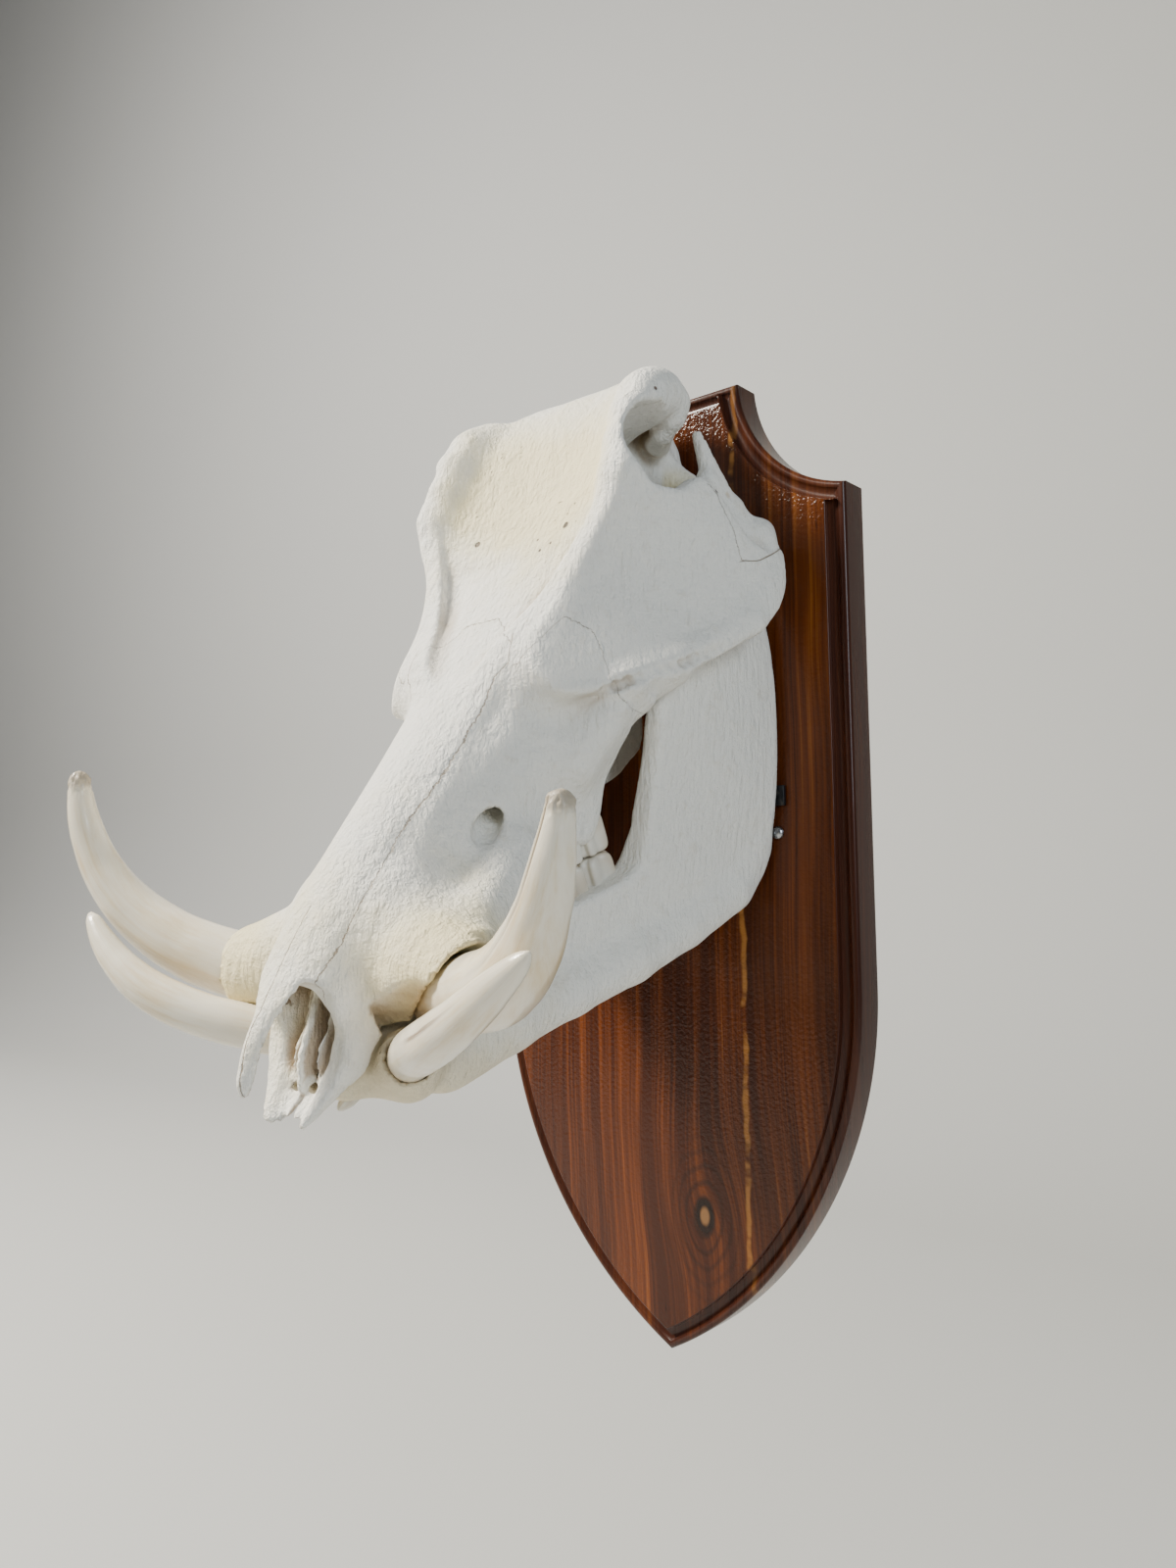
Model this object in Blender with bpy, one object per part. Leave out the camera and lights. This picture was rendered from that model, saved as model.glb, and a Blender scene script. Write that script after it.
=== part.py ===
"""A warthog skull with its jaw and tusks, fixed to a varnished wooden shield.

Metres, +Z up. The origin is the middle of the shield's flat back, at half its height,
and the skull faces -Y with its snout hanging down.

Bone is worked out in the skull's own frame, in millimetres: a is the distance from the
middle plane, s runs from the brow down to the snout, and v stands out from the face.
A bone is a field that is negative inside it. Fields are blended, cut by hollows, and
turned into a closed surface on a regular grid, which is then thinned to few faces.
"""

import itertools
import math

import bmesh
import bpy
import numpy as np
from mathutils import Vector

# Shield, in metres
SHIELD_HEIGHT = 0.500
SHIELD_HALF_WIDTH = 0.1145
EDGE_THICK = 0.0184
FIELD_THICK = 0.0209
POINT_ARC_RADIUS = 0.215
POINT_ARC_TOP = 0.190
TOP_HALF_WIDTH = 0.0544
SHOULDER_ARC_CENTRE = (0.1268, 0.5069)
SHOULDER_ARC_RADIUS = 0.0727
SHOULDER_HEIGHT = 0.4352
MOULDING_WIDTH = 0.0105

# Skull frame in the room
SKULL_ORIGIN = (0.0, -0.040, 0.269)
SNOUT_LEAN = math.radians(34.1)
MM = 0.001

# Grid and thinning
GRID_STEP = 3.0
CRANIUM_TRIANGLES = 3700
JAW_TRIANGLES = 1700

# Clearances, in millimetres
SOCKET_GAP = 0.5
JAW_GAP = 2.2
TUSK_GAP = 2.0

# Fixings, in metres
FACE_GAP = 0.0003
STANDOFF_RADIUS = 0.0070
STANDOFF_HEIGHT = 0.185
STANDOFF_END = (0.0, -0.060, 0.185)
TAB_SIZE = (0.0060, 0.0024, 0.0100)
TAB_HEIGHT = 0.034
TAB_SIDE = 0.0765
SCREW_RADIUS = 0.0032
SCREW_LENGTH = 0.0024
SCREW_PLACE = (0.0745, 0.0158)

# Roof of the skull along s: height of the middle line, how far the edge stands above it,
# and half width at that edge
ROOF = [(-10, -28), (5, -20), (17, -10), (40, 11), (60, 18), (80, 17), (100, 12), (120, 8),
        (137, 5), (160, 3), (190, 2), (222, 3), (260, 7), (300, 11), (350, 13), (386, 10),
        (406, 7), (423, -1)]
EDGE_RISE = [(0, 0), (30, 1), (60, 4), (84, 12), (105, 17), (126, 14), (142, 7), (160, 0),
             (190, -6), (222, -9), (300, -8), (423, -6)]
ROOF_HALF = [(10, 34), (30, 34), (48, 38), (62, 54), (84, 62), (105, 66), (126, 65),
             (142, 60), (160, 53), (185, 43), (216, 34), (240, 28), (262, 25), (300, 23),
             (350, 22), (381, 22), (400, 15), (415, 9), (424, 5)]
# Cheek side of the upper jaw, its lower border, and the lower border of the skull's core
MAXILLA_HALF = [(100, 30), (160, 36), (215, 45), (240, 44), (270, 39), (300, 35), (330, 33),
                (360, 29), (385, 24), (400, 18), (420, 12)]
MAXILLA_FLOOR = [(100, -26), (150, -34), (190, -46), (215, -58), (227, -68), (240, -78),
                 (256, -84), (270, -72), (300, -50), (330, -42), (360, -38), (390, -33),
                 (420, -27)]
CORE_FLOOR = [(60, -60), (90, -74), (130, -80), (200, -84), (230, -80), (262, -70), (300, -50)]
# The cheek bone is a sheet between its upper ridge and its lower crest
RIDGE_SIDE = [(60, 70), (84, 70), (105, 69), (126, 67), (142, 61), (160, 54), (185, 46), (240, 38)]
RIDGE_RISE = [(60, 30), (84, 36), (105, 33), (126, 22), (142, 12), (160, 5), (185, 3), (240, 5)]
CREST_SIDE = [(60, 88), (90, 92), (118, 97), (150, 95), (170, 89), (190, 82), (217, 66), (250, 46)]
CREST_RISE = [(60, -60), (90, -63), (132, -76), (150, -70), (170, -60), (190, -48), (217, -28),
              (250, -14)]
CHEEK_BULGE = 8.0
CHEEK_HALF_THICK = [(80, 3.0), (110, 4.5), (200, 5.5), (230, 8)]
CHEEK_OUTLINE = [(126, 22), (125, 8), (118, -4), (106, -9), (105, -20), (112, -44), (106, -60),
                 (101, -64), (106, -69), (130, -75), (158, -64), (182, -51), (201, -36),
                 (217, -25), (228, -10), (215, 4), (185, 5), (142, 14)]
TEMPLE_OUTLINE = [(78, -1), (88, -5), (98, -8), (112, -12), (124, -40), (112, -62), (99, -63),
                  (90, -57), (95, -40), (86, -17)]
TEMPLE_HALF_THICK = 3.0
TEMPLE_SET_BACK = 7.5
# Lower border of the jaw, the rest of its outline, and its outer side
JAW_BORDER = [(84, -70), (105, -84), (142, -114), (182, -142), (210, -161), (225, -165),
              (247, -159), (274, -145), (306, -124), (343, -94), (381, -66), (398, -44), (404, -36)]
JAW_TOP = [(405, -28), (385, -31), (365, -38), (340, -47), (316, -58), (282, -81), (266, -90),
           (258, -84), (233, -72), (218, -62), (207, -51), (192, -46), (172, -44), (150, -52),
           (128, -66), (112, -74), (98, -70), (90, -64)]
JAW_SIDE = [(84, 58), (124, 77), (160, 79), (200, 75), (218, 70), (247, 62), (275, 52),
            (306, 41), (330, 33), (365, 26), (404, 17)]
JAW_LEAN = 0.095
JAW_HALF_THICK = [(84, 5), (110, 4), (200, 5), (230, 6), (262, 9), (300, 12), (350, 14), (404, 8)]

# Tusks: four control points of the middle curve (side, s, v) and radii along it
UPPER_TUSK_LEFT = [(38, 358, -37), (67, 359, -26), (140, 389, 11), (145, 328, 47)]
UPPER_TUSK_RIGHT = [(38, 358, -37), (67, 359, -26), (140, 379, 16), (144, 310, 63)]
LOWER_TUSK_LEFT = [(26, 385, -45), (48, 383, -23), (87, 405, 3), (138, 372, 26)]
LOWER_TUSK_RIGHT = [(26, 385, -45), (48, 380, -21), (85, 407, 1), (128, 364, 29)]
UPPER_TUSK_RADII = [(0, 14), (0.3, 15), (0.5, 13.5), (0.75, 9.5), (0.95, 5.5), (1, 4)]
LOWER_TUSK_RADII = [(0, 9), (0.3, 9.2), (0.6, 8.8), (0.85, 6.5), (0.97, 4), (1, 2)]
TUSK_SECTIONS = 13
TUSK_SIDES = 12

# Cheek teeth: where the rows meet, from the back tooth to the front one
BITE_BACK = (34, 252, -90.5)
BITE_FRONT = (27, 304, -56)
UPPER_TEETH = [17, 14, 10, 8]
LOWER_TEETH = [19, 14, 9]
TOOTH_HALF_WIDTH = 6.0
CROWN_HEIGHT = 10.0
ROOT_DEPTH = 9.0
BITE_GAP = 0.7
INCISOR = [(5, 380, -49, 3.4), (6, 398, -43, 3.4), (6.5, 407, -39, 2.0)]


def blend_min(one, two, soft):
    """Union of two fields with a fillet about as wide as soft."""
    mix = np.clip(0.5 + 0.5 * (two - one) / soft, 0, 1)
    return two + (one - two) * mix - soft * mix * (1 - mix)


def blend_max(one, two, soft):
    """Overlap of two fields, with a rounded edge."""
    return -blend_min(-one, -two, soft)


def curve(stations, at):
    """A smooth curve through (place, value) stations that never overshoots them."""
    places, values = np.array(stations, float).T
    gaps = np.diff(places)
    steps = np.diff(values) / gaps
    slopes = np.concatenate([steps[:1], np.zeros(len(steps) - 1), steps[-1:]])
    before, after = steps[:-1], steps[1:]
    mean = (before * gaps[1:] + after * gaps[:-1]) / (gaps[1:] + gaps[:-1])
    most = 3 * np.minimum(np.abs(before), np.abs(after))
    same_way = before * after > 0
    slopes[1:-1] = np.where(same_way, np.sign(mean) * np.minimum(np.abs(mean), most), 0)
    at = np.clip(at, places[0], places[-1])
    k = np.clip(np.searchsorted(places, at, side="right") - 1, 0, len(gaps) - 1)
    t = (at - places[k]) / gaps[k]
    rise = t * t * (3 - 2 * t)
    start = t * (1 - t) ** 2 * gaps[k] * slopes[k]
    end = t * t * (t - 1) * gaps[k] * slopes[k + 1]
    return values[k] * (1 - rise) + values[k + 1] * rise + start + end


def egg(a, s, v, centre, radii):
    """Field of an ellipsoid."""
    p = [(q - c) / r for q, c, r in zip((a, s, v), centre, radii)]
    near = np.sqrt(p[0] ** 2 + p[1] ** 2 + p[2] ** 2)
    slope = np.sqrt(sum((q / r) ** 2 for q, r in zip(p, radii)))
    return near * (near - 1) / np.maximum(slope, 1e-6)


def rod(a, s, v, stops, soft=0.0):
    """Field of a round rod through stops of (a, s, v, radius)."""
    field = None
    for start, end in zip(stops[:-1], stops[1:]):
        way = np.subtract(end[:3], start[:3])
        along = (a - start[0]) * way[0] + (s - start[1]) * way[1] + (v - start[2]) * way[2]
        t = np.clip(along / (way @ way), 0, 1)
        off = [q - c - t * w for q, c, w in zip((a, s, v), start, way)]
        piece = np.sqrt(off[0] ** 2 + off[1] ** 2 + off[2] ** 2)
        piece = piece - start[3] - t * (end[3] - start[3])
        if field is None:
            field = piece
        elif soft:
            field = blend_min(field, piece, soft)
        else:
            field = np.minimum(field, piece)
    return field


def rounded(points, steps=4):
    """A closed outline through the points, as a smooth curve."""
    points = np.array(points, float)
    out = []
    for k in range(len(points)):
        p, q, r, u = (points[(k + j) % len(points)] for j in (-1, 0, 1, 2))
        for t in np.arange(steps) / steps:
            bend = (2 * p - 5 * q + 4 * r - u) * t * t + (3 * q - p - 3 * r + u) * t ** 3
            out.append(0.5 * (2 * q + (r - p) * t + bend))
    return out


def inside_outline(s, v, points):
    """Distance to a rounded outline in the s, v plane, negative inside it."""
    ring = rounded(points)
    s, v = np.broadcast_arrays(s, v)
    nearest = np.full(s.shape, np.inf)
    inside = np.zeros(s.shape, bool)
    for (s0, v0), (s1, v1) in zip(ring, ring[1:] + ring[:1]):
        ds, dv = s1 - s0, v1 - v0
        t = np.clip(((s - s0) * ds + (v - v0) * dv) / (ds * ds + dv * dv), 0, 1)
        nearest = np.minimum(nearest, (s - s0 - t * ds) ** 2 + (v - v0 - t * dv) ** 2)
        if v0 != v1:
            inside ^= ((v0 > v) != (v1 > v)) & (s < s0 + (v - v0) * ds / dv)
    return np.where(inside, -1, 1) * np.sqrt(nearest)


def between(s, low, high, soft):
    """A field that is negative where s is between low and high."""
    return blend_max(low - s, s - high, soft)


def face(a, s, v):
    """The long face: forehead, nose and upper jaw."""
    half = curve(ROOF_HALF, s)
    share = np.minimum(a / half, 1)
    roof = v - curve(ROOF, s) - curve(EDGE_RISE, s) * share ** 2
    down = np.clip((curve(ROOF, s) - v) / 34, 0, 1)
    wall = half + (curve(MAXILLA_HALF, s) - half) * down * down * (3 - 2 * down)
    field = blend_max(roof, 0.94 * (a - wall), 10)
    field = blend_max(field, curve(MAXILLA_FLOOR, s) - v, 9)
    return blend_max(field, between(s, 122, 424, 3), 8)


def brow_roof(a, s, v):
    """The roof slab between and behind the brows."""
    half = curve(ROOF_HALF, s)
    top = curve(ROOF, s) + curve(EDGE_RISE, s) * np.minimum(a / half, 1) ** 2
    field = blend_max(v - top, top - 19 - v, 8)
    field = blend_max(field, a - half, 12)
    return blend_max(field, between(s, 22, 150, 4), 6)


def braincase(a, s, v):
    """The rounded case behind the brows and the solid core below the forehead."""
    case = egg(a, s, v, (0, 70, -18), (36, 44, 33))
    core = blend_max(blend_max(a - 23, v, 8), curve(CORE_FLOOR, s) - v, 8)
    core = blend_max(core, between(s, 70, 300, 8), 8)
    return blend_min(case, core, 10)


def back_of_skull(a, s, v):
    """The crest and plate that face the board, the joint knobs and the hanging spurs."""
    crest = rod(a, s, v, [(0, 25, -14, 7), (24, 26, -15, 7), (36, 31, -20, 6), (40, 42, -31, 6),
                          (42, 58, -45, 7), (40, 75, -59, 8)], 3)
    depth = s * math.sin(SNOUT_LEAN) + v * math.cos(SNOUT_LEAN)
    reach = curve([(20, 32), (40, 40), (60, 42), (80, 40), (100, 30)], s)
    plate = blend_max(np.abs(depth - 10) - 6, a - reach, 6)
    plate = blend_max(plate, between(s, 22, 92, 4), 4)
    knob = rod(a, s, v, [(14, 86, -66, 9), (19, 94, -72, 9)])
    spur = rod(a, s, v, [(38, 86, -65, 9), (42, 112, -87, 6), (42, 131, -101, 3.5)])
    bulla = rod(a, s, v, [(22, 112, -78, 11), (24, 124, -84, 9)])
    field = blend_min(crest, plate, 6)
    for more in (knob, spur, bulla):
        field = blend_min(field, more, 5)
    return field


def temple_root(a, s, v):
    """The shelf that carries the jaw joint, with the dipped crest behind the orbit."""
    crest = rod(a, s, v, [(30, 52, -22, 9), (46, 70, -32, 7), (60, 84, -29, 6), (76, 98, -20, 5)], 4)
    shelf = rod(a, s, v, [(34, 80, -50, 11), (60, 92, -54, 10), (84, 100, -54, 8)], 4)
    web = rod(a, s, v, [(36, 70, -38, 8), (54, 82, -42, 8), (78, 96, -38, 6)], 4)
    return blend_min(blend_min(crest, shelf, 7), web, 7)


def brow(a, s, v):
    """The thick rim over the orbit, which curls back and down behind it."""
    return rod(a, s, v, [(58, 134, 8, 8), (59, 122, 15, 9), (58, 108, 19, 9.5), (57, 92, 22, 10),
                         (56, 78, 21, 11), (54, 66, 15, 11), (55, 60, 7, 8.5), (59, 62, 0, 6),
                         (63, 70, -4, 3)], 5)


def cheek(a, s, v):
    """The broad cheek bone, the spiked temple bone behind it and the ruffled crest below."""
    ridge_rise, crest_rise = curve(RIDGE_RISE, s), curve(CREST_RISE, s)
    ridge_side, crest_side = curve(RIDGE_SIDE, s), curve(CREST_SIDE, s)
    t = (v - crest_rise) / (ridge_rise - crest_rise)
    outer = crest_side + (ridge_side - crest_side) * t + CHEEK_BULGE * np.clip(t * (1 - t), 0, 0.25)
    thick = curve(CHEEK_HALF_THICK, s)
    plate = blend_max(0.9 * np.abs(a - outer + thick) - thick, inside_outline(s, v, CHEEK_OUTLINE), 3)
    temple = 0.9 * np.abs(a - outer + TEMPLE_SET_BACK) - TEMPLE_HALF_THICK
    temple = blend_max(temple, inside_outline(s, v, TEMPLE_OUTLINE), 2.5)
    lobe = rod(a, s, v, [(84, 95, -57, 7), (88, 103, -60, 6)])
    crest = rod(a, s, v, [(88, 120, -68, 6), (88, 145, -66, 6), (76, 186, -45, 6), (60, 214, -26, 8),
                          (40, 238, -22, 9)], 4)
    return blend_min(blend_min(plate, blend_min(temple, lobe, 3), 3), crest, 6)


def tusk_socket(a, s, v):
    """The flared bone collar that holds an upper tusk, and the swelling behind it."""
    collar = rod(a, s, v, [(20, 338, -18, 20), (42, 354, -24, 21), (64, 359, -24, 20.5)], 5)
    swelling = rod(a, s, v, [(36, 290, -40, 10), (44, 330, -30, 12), (50, 350, -24, 14)], 5)
    return blend_min(collar, swelling, 10)


def snout_prong(a, s, v):
    """The bone below the nose opening, which ends in a blunt prong."""
    return rod(a, s, v, [(20, 365, -24, 12), (16, 392, -22, 9), (9, 416, -20, 6), (8, 420, -20, 5)], 4)


def carve_skull(field, a, s, v):
    """Cuts the orbit, temple hollow, nose opening, nerve hole, palate and nape hole."""
    orbit = blend_min(egg(a, s, v, (66, 99, 2), (27, 25, 19)), egg(a, s, v, (52, 94, -5), (22, 20, 20)), 6)
    field = blend_max(field, -orbit, 3)
    field = blend_max(field, -egg(a, s, v, (58, 70, -14), (22, 16, 20)), 4)
    nose = rod(a, s, v, [(0, 330, -4, 9), (0, 365, -6, 10.5), (3, 390, -9, 11.5), (3, 420, -15, 10),
                         (0, 440, -21, 10)])
    field = blend_max(field, -nose, 2)
    nose_side = rod(a, s, v, [(22, 386, -4, 5), (20, 400, -10, 7), (16, 416, -13, 7.5), (12, 430, -14, 9)])
    field = blend_max(field, -nose_side, 2)
    slit = blend_max(blend_max(a - 1.6, 394 - s, 1), v + 12, 1)
    field = blend_max(field, -slit, 1)
    nerve = rod(a, s, v, [(46, 303, -15, 6.2), (37, 293, -21, 6), (28, 272, -29, 5)])
    field = blend_max(field, -nerve, 1.5)
    palate = rod(a, s, v, [(0, 110, -94, 14), (0, 190, -102, 16), (0, 240, -98, 16), (0, 280, -80, 15),
                           (0, 330, -60, 14), (0, 380, -49, 11)])
    field = blend_max(field, -palate, 5)
    nape_hole = rod(a, s, v, [(0, 56, -67, 10), (0, 84, -26, 10)])
    return blend_max(field, -nape_hole, 2)


def cranium_field(a, s, v):
    field = blend_min(face(a, s, v), brow_roof(a, s, v), 6)
    field = blend_min(field, braincase(a, s, v), 8)
    field = blend_min(field, back_of_skull(a, s, v), 6)
    field = blend_min(field, temple_root(a, s, v), 6)
    field = blend_min(field, brow(a, s, v), 9)
    field = blend_min(field, tusk_socket(a, s, v), 12)
    field = blend_min(field, snout_prong(a, s, v), 6)
    field = carve_skull(field, a, s, v)
    field = blend_min(field, cheek(a, s, v), 5)
    bite = rod(a, s, v, [(34, 258, -100, 10), (27, 310, -65, 10)])
    field = blend_max(field, -bite, 2)
    wing = rod(a, s, v, [(18, 160, -76, 7), (16, 186, -90, 5), (15, 197, -99, 3.5)])
    field = blend_min(field, wing, 5)
    t = np.linspace(0, 1, 8)
    tusk = np.column_stack([bezier(LOWER_TUSK_LEFT, t), curve(LOWER_TUSK_RADII, t)])
    field = np.maximum(field, TUSK_GAP - rod(a, s, v, tusk))
    return np.maximum(field, JAW_GAP - jaw_field(a, s, v))


def jaw_field(a, s, v):
    border = curve(JAW_BORDER, s)
    outer = curve(JAW_SIDE, s) - JAW_LEAN * np.clip(v - border, 0, 120)
    thick = curve(JAW_HALF_THICK, s)
    shape = inside_outline(s, v, JAW_BORDER + JAW_TOP)
    field = blend_max(np.abs(a - outer + thick) - thick, shape, 4)
    field = blend_min(field, rod(a, s, v, [(50, 94, -76, 6.5), (68, 94, -76, 6.5)]), 5)
    rim = rod(a, s, v, [(64, 210, -154, 6), (60, 234, -156, 7), (50, 262, -142, 9), (42, 290, -124, 11),
                        (32, 318, -104, 12), (26, 345, -82, 14), (22, 372, -62, 15)], 4)
    field = blend_min(field, rim, 8)
    chin_half = curve([(335, 22), (360, 27), (385, 27), (398, 18), (404, 12)], s)
    chin_top = curve([(335, -62), (365, -48), (390, -36), (404, -31)], s)
    chin = blend_max(blend_max(a - chin_half, border - v, 6), v - chin_top, 5)
    chin = blend_max(chin, between(s, 340, 404, 4), 5)
    field = blend_min(field, chin, 8)
    field = blend_min(field, rod(a, s, v, [(16, 380, -50, 12), (27, 386, -44, 13.5)]), 7)
    field = blend_max(field, -egg(a, s, v, (0, 365, -30), (11, 38, 12)), 4)
    bite = rod(a, s, v, [(35, 236, -90, 10), (34, 247, -82, 10), (27, 303, -45, 10)])
    field = blend_max(field, -bite, 2)
    lost_tooth = rod(a, s, v, [(16, 394, -38, 3.2), (12, 388, -47, 3)])
    return blend_max(field, -lost_tooth, 1)


def surface(field, sides):
    """Points and triangles of the field's zero surface, from the six tetrahedra of each cell."""
    shape = np.array(field.shape)
    value = np.where(np.abs(field) < 1e-3, 1e-3, field).ravel()
    index = np.arange(value.size).reshape(field.shape)
    ends = [(slice(None, -1), slice(1, None))[k] for k in (0, 1)]
    corners = [index[ends[i], ends[j], ends[k]].ravel() for i, j, k in itertools.product((0, 1), repeat=3)]
    found = np.stack([value[c] for c in corners])
    crossed = (found.min(axis=0) < 0) & (found.max(axis=0) > 0)
    corners = [c[crossed] for c in corners]
    pairs = []
    for first, second, third in itertools.permutations((4, 2, 1)):
        cell = np.stack([corners[0], corners[first], corners[first + second], corners[7]], axis=1)
        turned = (first, second, third) not in ((4, 2, 1), (2, 1, 4), (1, 4, 2))
        pairs += tetrahedron_faces(cell, value[cell] < 0, turned)
    pairs = np.concatenate(pairs)
    keys, where = np.unique(pairs[..., 0] * value.size + pairs[..., 1], return_inverse=True)
    low, high = keys // value.size, keys % value.size
    t = (value[low] / (value[low] - value[high]))[:, None]
    points = grid_place(low, shape, sides) * (1 - t) + grid_place(high, shape, sides) * t
    return points, where.reshape(-1, 3)


def grid_place(index, shape, sides):
    """Place of each grid point, from its number."""
    i, j, k = np.unravel_index(index, shape)
    return np.stack([sides[0][i], sides[1][j], sides[2][k]], axis=1)


def odd(order):
    """Whether an order of four corners takes an odd number of swaps."""
    return sum(order[i] > order[j] for i in range(4) for j in range(i + 1, 4)) % 2 == 1


def tetrahedron_faces(cell, negative, turned):
    """Triangles of each tetrahedron as pairs of grid points, one pair for each corner."""
    out = []
    for code in itertools.product((False, True), repeat=4):
        inner = [k for k in range(4) if code[k]]
        outer = [k for k in range(4) if not code[k]]
        chosen = cell[(negative == code).all(axis=1)]
        if not inner or not outer or not len(chosen):
            continue
        flip = odd(inner + outer) != turned
        if len(inner) == 2:
            i, j = inner
            k, m = outer
            faces = [[(i, k), (i, m), (j, m)], [(i, k), (j, m), (j, k)]]
        elif len(inner) == 1:
            faces = [[(inner[0], k) for k in outer]]
        else:
            faces = [[(k, outer[0]) for k in inner]]
        for triangle in faces:
            edges = [np.sort(chosen[:, list(pair)], axis=1) for pair in triangle]
            out.append(np.stack(edges[::-1] if flip else edges, axis=1))
    return out


def room_place(points):
    """Skull frame, millimetres, to the room, metres."""
    points = np.asarray(points, float) * MM
    down = np.array([0, -math.sin(SNOUT_LEAN), -math.cos(SNOUT_LEAN)])
    out = np.array([0, -math.cos(SNOUT_LEAN), math.sin(SNOUT_LEAN)])
    side = points[:, :1] * np.array([1.0, 0, 0])
    return np.array(SKULL_ORIGIN) + side + points[:, 1:2] * down + points[:, 2:] * out


def material(name, colour, roughness, metallic=0.0):
    made = bpy.data.materials.new(name)
    made.use_nodes = True
    shader = made.node_tree.nodes["Principled BSDF"]
    shader.inputs["Base Color"].default_value = (*colour, 1)
    shader.inputs["Roughness"].default_value = roughness
    shader.inputs["Metallic"].default_value = metallic
    return made


def add_mesh(name, points, faces, finish):
    """An object from points and faces, turned so that its faces point out."""
    mesh = bpy.data.meshes.new(name)
    mesh.from_pydata([tuple(p) for p in points], [], [tuple(map(int, f)) for f in faces])
    made = bmesh.new()
    made.from_mesh(mesh)
    bmesh.ops.recalc_face_normals(made, faces=made.faces)
    if made.calc_volume(signed=True) < 0:
        bmesh.ops.reverse_faces(made, faces=made.faces)
    made.to_mesh(mesh)
    made.free()
    mesh.materials.append(finish)
    obj = bpy.data.objects.new(name, mesh)
    bpy.context.scene.collection.objects.link(obj)
    return obj


def add_bone(name, field, box, triangles, finish):
    """A bone from its field, mirrored across the middle plane and thinned."""
    widest, s_low, s_high, v_low, v_high = box
    a = np.arange(0, widest + GRID_STEP, GRID_STEP)
    s = np.arange(s_low, s_high + GRID_STEP, GRID_STEP)
    v = np.arange(v_low, v_high + GRID_STEP, GRID_STEP)
    half = np.broadcast_to(field(a[:, None, None], s[None, :, None], v[None, None, :]),
                           (len(a), len(s), len(v)))
    whole = np.concatenate([half[:0:-1], half])
    sides = (np.concatenate([-a[:0:-1], a]), s, v)
    points, faces = surface(whole, sides)
    points, faces = largest_piece(points, faces)
    obj = add_mesh(name, room_place(points), faces, finish)
    thin = obj.modifiers.new("Thin", "DECIMATE")
    thin.ratio = triangles / len(faces)
    thin.use_collapse_triangulate = True
    obj.data.shade_smooth()
    return obj


def largest_piece(points, faces):
    """The largest connected piece of a mesh, without any crumbs beside it."""
    label = np.arange(len(points))
    while True:
        lowest = label[faces].min(axis=1)
        new = label.copy()
        for corner in range(3):
            np.minimum.at(new, faces[:, corner], lowest)
        new = new[new]
        if (new == label).all():
            break
        label = new
    main = np.bincount(label[faces[:, 0]]).argmax()
    kept = faces[label[faces[:, 0]] == main]
    used, index = np.unique(kept, return_inverse=True)
    return points[used], index.reshape(-1, 3)


def bezier(control, t):
    """Points of a cubic curve from its four control points."""
    p, q, r, u = np.array(control, float)
    t = np.asarray(t, float)[:, None]
    return (1 - t) ** 3 * p + 3 * (1 - t) ** 2 * t * q + 3 * (1 - t) * t * t * r + t ** 3 * u


def swept(path, radii, sides, grow=0.0):
    """Points and faces of a closed round body along a path, with its two end points."""
    path = np.array(path, float)
    ways = np.gradient(path, axis=0)
    ways /= np.linalg.norm(ways, axis=1)[:, None]
    path[0] -= ways[0] * grow
    path[-1] += ways[-1] * grow
    across = np.cross(ways, (0.3, 1.0, 0.2))
    across /= np.linalg.norm(across, axis=1)[:, None]
    other = np.cross(ways, across)
    turn = 2 * math.pi * np.arange(sides) / sides
    reach = (np.asarray(radii) + grow)[:, None, None]
    ring = across[:, None] * np.cos(turn)[None, :, None] + other[:, None] * np.sin(turn)[None, :, None]
    points = (path[:, None] + reach * ring).reshape(-1, 3)
    faces = []
    for k in range(len(path) - 1):
        for j in range(sides):
            a, b = k * sides + j, k * sides + (j + 1) % sides
            faces.append((a, b, b + sides, a + sides))
    faces.append(tuple(range(sides)))
    faces.append(tuple(range((len(path) - 1) * sides, len(path) * sides)))
    return points, faces


def mirrored(points):
    return np.asarray(points) * (-1, 1, 1)


def add_tusk(name, control, radii, right, finish, grow=0.0):
    t = np.linspace(0, 1, TUSK_SECTIONS)
    points, faces = swept(bezier(control, t), curve(radii, t), TUSK_SIDES, grow)
    if right:
        points = mirrored(points)
    obj = add_mesh(name, room_place(points), faces, finish)
    obj.data.shade_smooth()
    return obj


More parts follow.
